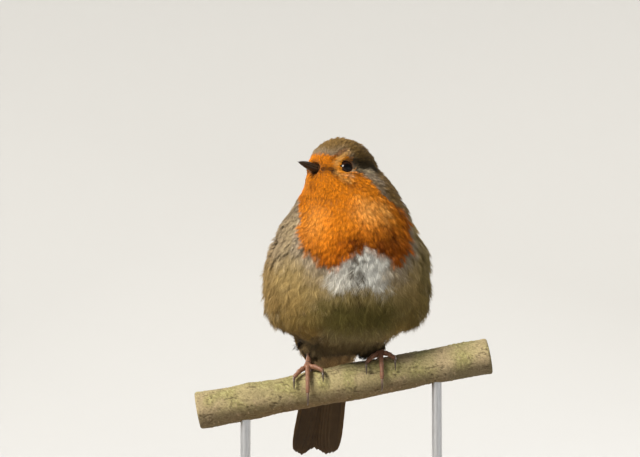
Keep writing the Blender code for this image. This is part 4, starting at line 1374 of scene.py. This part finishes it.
def makeLid(side, sign):
    # a soft ring round the eye, drawn out a little at the corners
    make = lidMake
    axis, forward, up = eyeBasis(sign)
    middle = eyeMiddle * (sign, 1, 1)
    points, paint = [], []
    for i in range(make["turns"]):
        a = 2 * math.pi * i / make["turns"]
        polar = math.radians(make["open"] + make["corner"] * abs(math.cos(a)) ** 8 + 5.0)
        away = forward * math.cos(a) + up * math.sin(a)
        out = axis * math.cos(polar) + away * math.sin(polar)
        along = -axis * math.sin(polar) + away * math.cos(polar)
        fold = 1.0 + 0.10 * math.sin(a * 17.0) * math.sin(a * 5.0 + 1.0)
        for k in range(make["profile"]):
            b = 2 * math.pi * k / make["profile"]
            wide = 1.5 if math.cos(b) > 0 else 1.0  # the outer slope runs out under the feathers
            rise = out * (make["out"] + make["thick"] * math.sin(b) * fold)
            points.append(middle + rise + along * make["thick"] * wide * math.cos(b))
            paint.append(np.array(make["shade"]) * (0.75 + 0.35 * fold - 0.25 * math.cos(b)))
    faces = gridFaces(make["turns"], make["profile"], True, True)
    mesh = closedMesh("lid", outOf(headFrame, points), faces)
    setColour(mesh, "paint", np.clip(np.array(paint), 0, 1))
    ring = addMesh("lid_" + side, mesh, lidFinish)
    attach(ring, "root")


bristleMake = {
    "each": 7, "root": (2.75, -13.1, -4.5), "length": (2.6, 4.2), "thick": 0.065,
    "shade": (0.02, 0.014, 0.010),
    "stations": (0.0, 0.4, 0.75), "taper": (1.0, 0.75, 0.4),
}


def makeBristles():
    make = bristleMake
    draw = random.Random(4)
    points, faces = [], []
    for _, sign in sides:
        for s in shares(make["each"]):
            root = Vector(make["root"]) + Vector((0.25 * s, 2.0 * s, 1.6 * s - 0.3))
            drop = -0.55 + 0.55 * s + draw.uniform(-0.15, 0.15)
            heading = Vector((0.55 + 0.25 * s, -0.75 + 0.75 * s, drop)).normalized()
            long = draw.uniform(*make["length"])
            base = len(points)
            across = heading.orthogonal().normalized()
            up = heading.cross(across)
            for t, thick in zip(make["stations"], make["taper"]):
                middle = root + heading * long * t + Vector((0.0, 0.0, -0.5 * t * t))
                for k in range(4):
                    a = math.pi * k / 2
                    points.append(middle + (across * math.cos(a) + up * math.sin(a)) * make["thick"] * thick)
            points.append(root + heading * long + Vector((0.0, 0.0, -0.5)))
            points[base:] = [(p.x * sign, p.y, p.z) for p in points[base:]]
            faces += [tuple(base + k for k in face) for face in gridFaces(3, 4, around=True)]
            faces += [(base + 8 + k, base + 8 + (k + 1) % 4, base + 12) for k in range(4)]
            faces.append((base + 3, base + 2, base + 1, base))
    mesh = closedMesh("bristles", outOf(headFrame, points), faces)
    setColour(mesh, "paint", np.repeat([make["shade"]], len(points), axis=0))
    piece = addMesh("bristles", mesh, lidFinish)
    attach(piece, "root")


print("face")
eyeFinish = attributeMaterial("eye_gloss", 0.06, 0.16, 0.16)
lidFinish = attributeMaterial("lid_skin", 0.6, 0.3, 0.0, 0.15, 2500.0)
makeMandible("bill_upper", 1)
makeMandible("bill_lower", -1)
for side, sign in sides:
    makeEye(side, sign)
    makeLid(side, sign)
makeBristles()


# legs, feet and claws, on the lines of the part's source

legMake = {
    "perchRadius": 7.5, "middle": 3.0, "spread": 14.7, "ankle": (-2.4, 15.0, 20.0), "palm": 1.5,
    "shank": 1.0, "shankStations": 60, "toe": 1.05, "toeHang": 1.6, "gap": 0.35,
    "stations": 64, "firstStation": 6, "clawStations": 18, "around": 16,
    # angle of the toe's end, its splay, the claw's length, how many scutes and joints
    "toes": {
        "middle": (97.0, 0.2, 6.2, 13, 3), "inner": (46.0, -6.0, 5.0, 8, 2),
        "outer": (50.0, 5.6, 5.0, 9, 3), "hind": (-80.0, -1.2, 6.6, 8, 1),
    },
    "skinShade": (0.285, 0.135, 0.078), "scuteShade": (0.105, 0.050, 0.029),
    "jointShade": (0.36, 0.19, 0.115),
    "clawShade": (0.070, 0.048, 0.034), "clawRoot": (0.18, 0.115, 0.080),
}


def onPerch(angle, along, rise):
    # round the perch, in the shared frame and mm: angle from the top towards the front
    a = math.radians(angle)
    reach = legMake["perchRadius"] + rise
    return (perchFrame @ (Vector((along, -reach * math.sin(a), reach * math.cos(a))) * mm)) / mm


def footPlace(sign):
    return legMake["middle"] + legMake["spread"] * sign


def footJoint(sign):
    return onPerch(2.0, footPlace(sign), legMake["palm"] + 0.6)


def hang(angle):
    return legMake["toeHang"] * (1.0 - math.cos(math.radians(angle)))


def toePoint(toe, sign, s):
    last, splay = legMake["toes"][toe][:2]
    first = math.copysign(14.0, last)
    angle = first + (last - first) * s
    rise = legMake["toe"] + legMake["gap"] + 0.15 + 0.35 * math.sin(math.pi * s) ** 2 + 0.5 * (1.0 - s) ** 4
    return onPerch(angle, footPlace(sign) + splay * s**0.85 * sign - hang(angle), rise)


def perchAway(point):
    own = perchFrame.inverted() @ (point * mm)
    return (perchFrame.to_3x3() @ Vector((0.0, own.y, own.z))).normalized()


def makeDigit(points, radii, dorsal, scutes, pads, shades, pressed=0.94, pointed=False):
    # a tube with scutes above and pads below; radii and shares run along it
    make = legMake
    count, around = len(points), make["around"]
    rings, paint = [], []
    for i, (s, point) in enumerate(zip(shares(count), points)):
        ahead = (points[min(i + 1, count - 1)] - points[max(i - 1, 0)]).normalized()
        up = dorsal(point)
        up = (up - ahead * up.dot(ahead)).normalized()
        across = ahead.cross(up)
        saw = (s * scutes) % 1.0
        plate = (1.0 - saw) * min(1.0, saw * 6.0)
        pad = 0.5 - 0.5 * math.cos(2.0 * math.pi * s * (pads + 0.5)) if pads else 0.0
        base = tinted(shades[0], shades[1], 0.35 * s)
        ring = []
        for k in range(around):
            a = 2.0 * math.pi * k / around
            top, low = max(0.0, math.sin(a)), max(0.0, -math.sin(a))
            r = radii[i] * (1.0 + 0.13 * plate * top**0.5 + 0.16 * (pad - 0.3) * low)
            ring.append((point + across * math.cos(a) * r * pressed + up * math.sin(a) * r) * mm)
            dark = top**0.5 * (1.0 - min(1.0, saw * 5.0)) if scutes else 0.0
            paint.append(tinted(tinted(base, make["scuteShade"], dark), make["jointShade"], 0.25 * low))
        rings.append(ring)
    start = (points[0] + (points[0] - points[1]).normalized() * radii[0] * 0.4) * mm
    end = (points[-1] + (points[-1] - points[-2]).normalized() * radii[-1] * (0.3 if pointed else 0.7)) * mm
    mesh = tubeMesh("digit", rings, start, end)
    setColour(mesh, "paint", np.clip(np.array(paint + [shades[0], shades[1]]), 0, 1))
    return mesh


def makeClaw(side, sign, toe, last, splay, long):
    make = legMake
    facing = math.copysign(1.0, last)
    start = last + facing * 2.0
    end = start + facing * math.degrees(long / (make["perchRadius"] + 1.6))
    along = shares(make["clawStations"])
    points, radii = [], []
    for s in along:
        angle = start + (end - start) * s
        rise = (make["toe"] * 1.1 + make["gap"]) * (1.0 - s) + 0.6 * s + 0.9 * math.sin(math.pi * s**0.8)
        points.append(onPerch(angle, footPlace(sign) + splay * sign - hang(angle), rise))
        radii.append(0.72 * (1.0 - s) ** 0.70 + 0.06)
    nail = makeDigit(points, radii, perchAway, 0, 0, (make["clawRoot"], make["clawShade"]), 0.72, True)
    dark = step(0.0, 0.45, np.append(np.repeat(along, make["around"]), (0.0, 1.0)))
    nail.attributes.remove(nail.attributes["paint"])
    setColour(nail, "paint", tinted(make["clawRoot"], make["clawShade"], dark))
    piece = addMesh(f"nail_{side}_{toe}", nail, clawFinish)
    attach(piece, "root")
    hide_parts(f"claw_{side}_{toe}")


def makeFoot(side, sign):
    make = legMake
    meshes = []
    for toe, (last, splay, clawLength, scutes, joints) in make["toes"].items():
        own = shares(make["stations"])[make["firstStation"]:]
        points = [footJoint(sign)] + [toePoint(toe, sign, s) for s in own]
        radii = []
        for s in shares(len(points)):
            knob = 0.09 * math.cos(2.0 * math.pi * s * (joints + 0.5))
            radii.append(make["toe"] * (1.0 - 0.24 * s) * (1.0 + knob))
        shades = (make["skinShade"], make["scuteShade"])
        meshes.append(makeDigit(points, radii, perchAway, scutes, joints, shades))
        makeClaw(side, sign, toe, last, splay, clawLength)
    shape = bmesh.new()
    place = Matrix.Translation(footJoint(sign) * mm)
    bmesh.ops.create_icosphere(shape, subdivisions=4, radius=make["palm"] * mm, matrix=place)
    palm = meshOf(shape, "palm")
    palm.shade_smooth()
    setColour(palm, "paint", np.repeat([make["skinShade"]], len(palm.vertices), axis=0))
    foot = joinMeshes("toes_" + side, meshes + [palm])
    foot.data.materials.append(legFinish)
    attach(foot, "root")
    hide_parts("foot_" + side)


def makeShank(side, sign):
    make = legMake
    joint = footJoint(sign)
    ankle = joint + Vector(make["ankle"]) * Vector((sign, 1, 1))
    start = joint + (ankle - joint).normalized() * (make["palm"] * 0.6)
    along = shares(make["shankStations"])
    radii = []
    for s in along:
        swell = 0.35 * math.exp(-((s / 0.12) ** 2)) + 0.5 * math.exp(-(((1.0 - s) / 0.12) ** 2))
        radii.append(make["shank"] * (1.0 + swell))
    shades = (make["skinShade"], make["skinShade"])
    front = Vector((0.0, -1.0, 0.2))
    shank = makeDigit([start.lerp(ankle, s) for s in along], radii, lambda p: front, 9, 0, shades, 0.9)
    piece = addMesh("tarsus_" + side, shank, legFinish)
    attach(piece, "root")
    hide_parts("shank_" + side)


print("legs")
legFinish = attributeMaterial("leg_skin", 0.48, 0.45, 0.0, 0.10, 2200.0)
clawFinish = attributeMaterial("claw_horn", 0.32, 0.5, 0.15, 0.06, 1500.0)
for side, sign in sides:
    makeFoot(side, sign)
    makeShank(side, sign)


# perch and stand

perchMake = {
    "radius": 7.5, "left": -58.0, "right": 60.0, "stations": 250, "around": 112, "capRings": 16, "bevel": 0.5,
    "scars": ((-37.0, 0.7), (41.0, 2.4)),
    "bark": (0.36, 0.300, 0.150), "barkPink": (0.41, 0.310, 0.190), "barkGreen": (0.255, 0.235, 0.080),
    # one of these colours is painted shade for the branch's lower side
    "crack": (0.070, 0.050, 0.028), "lichen": (0.45, 0.42, 0.190), "shadedUnderside": (0.145, 0.115, 0.068),
    "wood": (0.62, 0.46, 0.27), "woodRing": (0.44, 0.29, 0.15),
}


def perchReach(along, angle):
    # the branch's radius, as in the part's source
    swell = 0.22 * np.sin(along * 0.11 + 0.6) + 0.12 * np.sin(along * 0.31)
    ridge = 0.14 * np.sin(3.0 * angle + along * 0.05) + 0.09 * np.sin(5.0 * angle - along * 0.12)
    scar = 0.0
    for place, turn in perchMake["scars"]:
        scar = scar + 0.9 * np.exp((np.cos(angle - turn) - 1.0) * 6.0 - ((along - place) / 3.4) ** 2)
    return perchMake["radius"] - 0.45 + swell + ridge + scar


def barkSurface():
    # points and colours of the bark, ring after ring
    make = perchMake
    along = np.repeat(np.linspace(make["left"], make["right"], make["stations"]), make["around"])
    angle = np.tile(np.linspace(0.0, 2.0 * math.pi, make["around"], endpoint=False), make["stations"])
    y, z = -np.sin(angle) * 7.0, np.cos(angle) * 7.0
    plain = np.stack([along, y, z], axis=1)
    lines = ripple(plain * (0.22, 1.0, 1.0), 1.15, 2.0)  # long fissures
    knots = ripple(plain, 4.2, 5.0)
    grain = ripple(plain, 0.9, 9.0)
    lenticel = ripple(plain * (2.2, 0.8, 0.8), 1.3, 14.0)
    patch = ripple(plain, 7.5, 31.0)
    pits = ripple(plain, 0.52, 17.0)
    crack = step(0.09, 0.0, np.abs(lines)) * step(-0.25, 0.25, knots)
    spots = step(0.42, 0.60, lenticel)
    crust = step(0.02, 0.30, patch + 0.35 * grain) * step(-0.6, 0.4, np.cos(angle))
    r = perchReach(along, angle) + 0.14 * knots + 0.15 * grain + 0.10 * pits
    r = r - 0.28 * crack + 0.15 * spots + 0.12 * crust * (0.6 + grain)
    ends = np.minimum(along - make["left"], make["right"] - along)
    r = r - make["bevel"] * (1.0 - np.clip(ends / 0.9, 0.0, 1.0)) ** 2
    points = np.stack([along, -r * np.sin(angle), r * np.cos(angle)], axis=1)
    paint = np.repeat([make["bark"]], len(points), axis=0)
    for colour, share in (
        ("barkPink", step(-0.3, 0.4, ripple(plain, 10.0, 40.0)) * 0.6),
        ("barkGreen", step(-0.25, 0.45, patch) * 0.6),
        # painted shade on the branch's underside
        ("shadedUnderside", step(0.1, -0.7, np.cos(angle)) * 0.8),
        ("lichen", crust * step(0.0, 0.5, grain + 0.4 * lenticel) * 0.5),
        ("barkPink", spots * 0.5),
        ("crack", crack * 0.85),
        ("crack", step(0.5, 0.75, -lenticel) * 0.5),
        ("crack", step(0.15, 0.6, -pits) * 0.45),
    ):
        paint = tinted(paint, make[colour], share)
    return points, paint * (1.0 + 0.16 * grain + 0.10 * knots)[:, None]


def sawnRing(edge, k):
    # one ring of a sawn end and its colours, with growth rings
    make = perchMake
    share = 1.0 - k / (make["capRings"] + 0.5)
    ring = edge * (1.0, share, share)
    turn = np.arange(make["around"]) * 2 * math.pi / make["around"]
    radius = np.linalg.norm(ring[:, 1:], axis=1)
    shade = tinted(make["woodRing"], make["wood"], 0.5 + 0.5 * np.sin(radius * 6.3 + 0.8 * np.sin(turn * 3)))
    shade = shade * (0.92 + 0.08 * (0.5 + 0.5 * np.sin(turn * 23.0 + radius)))[:, None]
    return ring, tinted(shade, make["crack"], 0.5) if k == 1 else shade


def makePerch():
    make = perchMake
    points, paint = barkSurface()
    rings = list(points.reshape(-1, make["around"], 3))
    colours = list(paint.reshape(-1, make["around"], 3))
    sawn = range(1, make["capRings"] + 1)
    first, last = ([sawnRing(rings[end], k) for k in sawn] for end in (0, -1))
    rings = [ring for ring, _ in first[::-1]] + rings + [ring for ring, _ in last]
    colours = [shade for _, shade in first[::-1]] + colours + [shade for _, shade in last]
    ends = [outOf(perchFrame, np.array((make[end], 0.0, 0.0))) for end in ("left", "right")]
    mesh = tubeMesh("bark", [outOf(perchFrame, ring) for ring in rings], *ends)
    setColour(mesh, "paint", np.clip(np.concatenate(colours + [[make["woodRing"]] * 2]), 0, 1))
    piece = addMesh("bark_perch", mesh, attributeMaterial("bark", 0.85, 0.2, 0.0, 0.20, 1700.0, 0.00025))
    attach(piece, "root")
    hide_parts("perch")
    print("perch", len(mesh.polygons))


standMake = {
    "baseRadius": 54.0, "baseHeight": 9.0, "bevel": 1.4, "foot": 0.5, "flat": 6.0, "around": 160,
    "rodRadius": 2.0, "rodOffset": 38.0, "rodTop": 62.0, "rodAround": 56, "rodRings": 12, "gap": 0.35,
    "woodLight": (0.60, 0.405, 0.225, 1.0), "woodDark": (0.41, 0.245, 0.115, 1.0),
    "steel": (0.62, 0.62, 0.63),
}


def woodMaterial():
    made, tree = newMaterial("beech")
    streak = noiseOut(tree, 60.0, 5.0, (0.35, 7.0, 7.0))
    fleck = noiseOut(tree, 260.0, 2.0, (0.35, 3.0, 3.0))
    dark, spots = ranged(tree, streak, 0.36, 0.66, 0.0, 0.75), ranged(tree, fleck, 0.58, 0.72, 0.0, 0.45)
    colour = mixed(tree, math2(tree, "ADD", dark, spots), standMake["woodLight"], standMake["woodDark"])
    numbers = {"Roughness": 0.42, "Coat Weight": 0.2, "Coat Roughness": 0.25}
    dress(tree, colour, numbers, fleck, 0.00005, 0.3)
    return made


def steelMaterial():
    made, tree = newMaterial("brushed_steel")
    level = ranged(tree, noiseOut(tree, 500.0, 2.0, (6.0, 6.0, 0.4)), 0.3, 0.7, 0.85, 1.1)
    dress(tree, scaled(tree, standMake["steel"], level), {"Metallic": 1.0, "Roughness": 0.32})
    return made


def makeBase():
    make = standMake
    wide, foot, bevel = make["baseRadius"], make["foot"], make["bevel"]
    quarter = [math.radians(90.0 * s) for s in shares(5)]
    profile = [(wide - foot, 0.0)]
    profile += [(wide - foot + foot * math.sin(a), foot - foot * math.cos(a)) for a in quarter]
    quarter = [math.radians(90.0 * s) for s in shares(9)]
    top = make["baseHeight"]
    profile += [(wide - bevel * (1 - math.cos(a)), top - bevel * (1 - math.sin(a))) for a in quarter]
    profile.append((wide - make["flat"], top))
    turns = np.linspace(0.0, 2.0 * math.pi, make["around"], endpoint=False)
    rings = [[(r * math.cos(a) * mm, r * math.sin(a) * mm, z * mm) for a in turns] for r, z in profile]
    mesh = tubeMesh("disc", rings, (0.0, 0.0, 0.0), (0.0, 0.0, top * mm))
    mesh.set_sharp_from_angle(angle=math.radians(30))
    disc = addMesh("disc_base", mesh, woodMaterial())
    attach(disc, "root")
    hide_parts("stand_base")


def makeRod(side, sign, steel):
    make = standMake
    x, r = make["rodOffset"] * sign, make["rodRadius"]
    low = make["baseHeight"] + make["gap"]
    high = make["rodTop"] + x * math.tan(perchSlope) - perchMake["radius"] * 0.55
    turns = np.linspace(0, 2 * math.pi, make["rodAround"], endpoint=False)
    levels = np.linspace(low, high, make["rodRings"])
    rings = [[((x + r * math.cos(a)) * mm, r * math.sin(a) * mm, z * mm) for a in turns] for z in levels]
    mesh = tubeMesh("rod", rings)
    mesh.set_sharp_from_angle(angle=math.radians(40))
    rod = addMesh("steel_rod_" + side, mesh, steel)
    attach(rod, "root")
    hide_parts("stand_rod_" + side)


print("perch and stand")
makePerch()
makeBase()
steelFinish = steelMaterial()
for side, sign in sides:
    makeRod(side, sign, steelFinish)


# floor, light and camera

studio = {
    "floorShade": (0.50, 0.50, 0.495, 1.0), "floorHalf": 30.0,
    "sweepStart": 1.2, "sweepRadius": 0.8, "sweepHalf": 6.0, "sweepTop": 3.0, "sweepRows": 16,
    "horizon": (0.72, 0.715, 0.69, 1.0), "horizonEnd": 0.10,
    "zenith": (0.14, 0.145, 0.15, 1.0), "zenithStart": 0.36,
    "keyPlace": (-1.00, -1.02, 1.20), "keyStrength": 4.5, "keyAngle": 24.0, "keyShade": (1.0, 0.955, 0.88),
    # name, place, size, power, colour
    "lights": (
        ("fill", (1.3, -1.2, 0.5), 1.2, 0.8, (0.86, 0.92, 1.0)),
        ("back", (0.6, 1.0, 0.9), 0.8, 9.0, (0.97, 0.98, 1.0)),
        ("side", (-0.9, 1.0, 0.6), 0.8, 6.0, (1.0, 0.98, 0.95)),
    ),
    "aim": (0.0, 0.0, 0.11),
    "distance": 0.9, "rise": -5.0, "target": (-0.0084, 0.0, 0.1240), "sensor": 36.0, "lens": 126.56,
}


def makeFloor():
    # flat in front and to the sides, with a sweep behind
    wide, half = studio["floorHalf"], studio["sweepHalf"]
    start, radius = studio["sweepStart"], studio["sweepRadius"]
    points = [(x, y, 0.0) for y in (-wide, start) for x in (-wide, wide)]
    rows = [(start, 0.0)]
    for k in range(1, studio["sweepRows"] + 1):
        a = math.radians(90.0 * k / studio["sweepRows"])
        rows.append((start + radius * math.sin(a), radius * (1.0 - math.cos(a))))
    rows.append((rows[-1][0], studio["sweepTop"]))
    faces = gridFaces(2, 2) + [tuple(k + len(points) for k in face) for face in gridFaces(len(rows), 2)]
    points += [(x, y, z) for y, z in rows for x in (-half, half)]
    made, tree = newMaterial("studio_floor")
    dress(tree, studio["floorShade"], {"Roughness": 0.95})
    addMesh("floor", meshFrom("floor", points, faces), made)


def aimLamp(name, data, place):
    lamp = bpy.data.objects.new(name, data)
    scene.collection.objects.link(lamp)
    lamp.location = place
    lamp.rotation_euler = (Vector(studio["aim"]) - Vector(place)).to_track_quat("-Z", "Y").to_euler()


def makeLights():
    key = bpy.data.lights.new("key", "SUN")
    key.energy, key.color = studio["keyStrength"], studio["keyShade"]
    key.angle = math.radians(studio["keyAngle"])
    aimLamp("key", key, studio["keyPlace"])
    for name, place, size, power, colour in studio["lights"]:
        data = bpy.data.lights.new(name, "AREA")
        data.shape = "DISK"
        data.size, data.energy, data.color = size, power, colour
        aimLamp(name, data, place)


def makeWorld():
    # pale at the level of the floor's far edge, darker above
    world = bpy.data.worlds.new("studio")
    scene.world = world
    world.use_nodes = True
    tree = world.node_tree
    above = addNode(tree, "ShaderNodeTexCoord", {}, "Generated")
    height = addNode(tree, "ShaderNodeSeparateXYZ", {0: above}, "Z")
    rise = ranged(tree, height, studio["horizonEnd"], studio["zenithStart"], 0.0, 1.0, "SMOOTHSTEP")
    sky = mixed(tree, rise, studio["horizon"], studio["zenith"])
    tree.links.new(sky, tree.nodes["Background"].inputs["Color"])
    scene.view_settings.view_transform = "Standard"


def makeCamera():
    rise = math.radians(studio["rise"])
    back = Vector((0.0, -math.cos(rise), math.sin(rise)))
    data = bpy.data.cameras.new("camera")
    data.sensor_width = studio["sensor"]
    data.lens = studio["lens"]
    camera = bpy.data.objects.new("camera", data)
    scene.collection.objects.link(camera)
    camera.location = Vector(studio["target"]) + back * studio["distance"]
    camera.rotation_euler = (-back).to_track_quat("-Z", "Y").to_euler()
    scene.camera = camera


makeFloor()
makeLights()
makeWorld()
makeCamera()
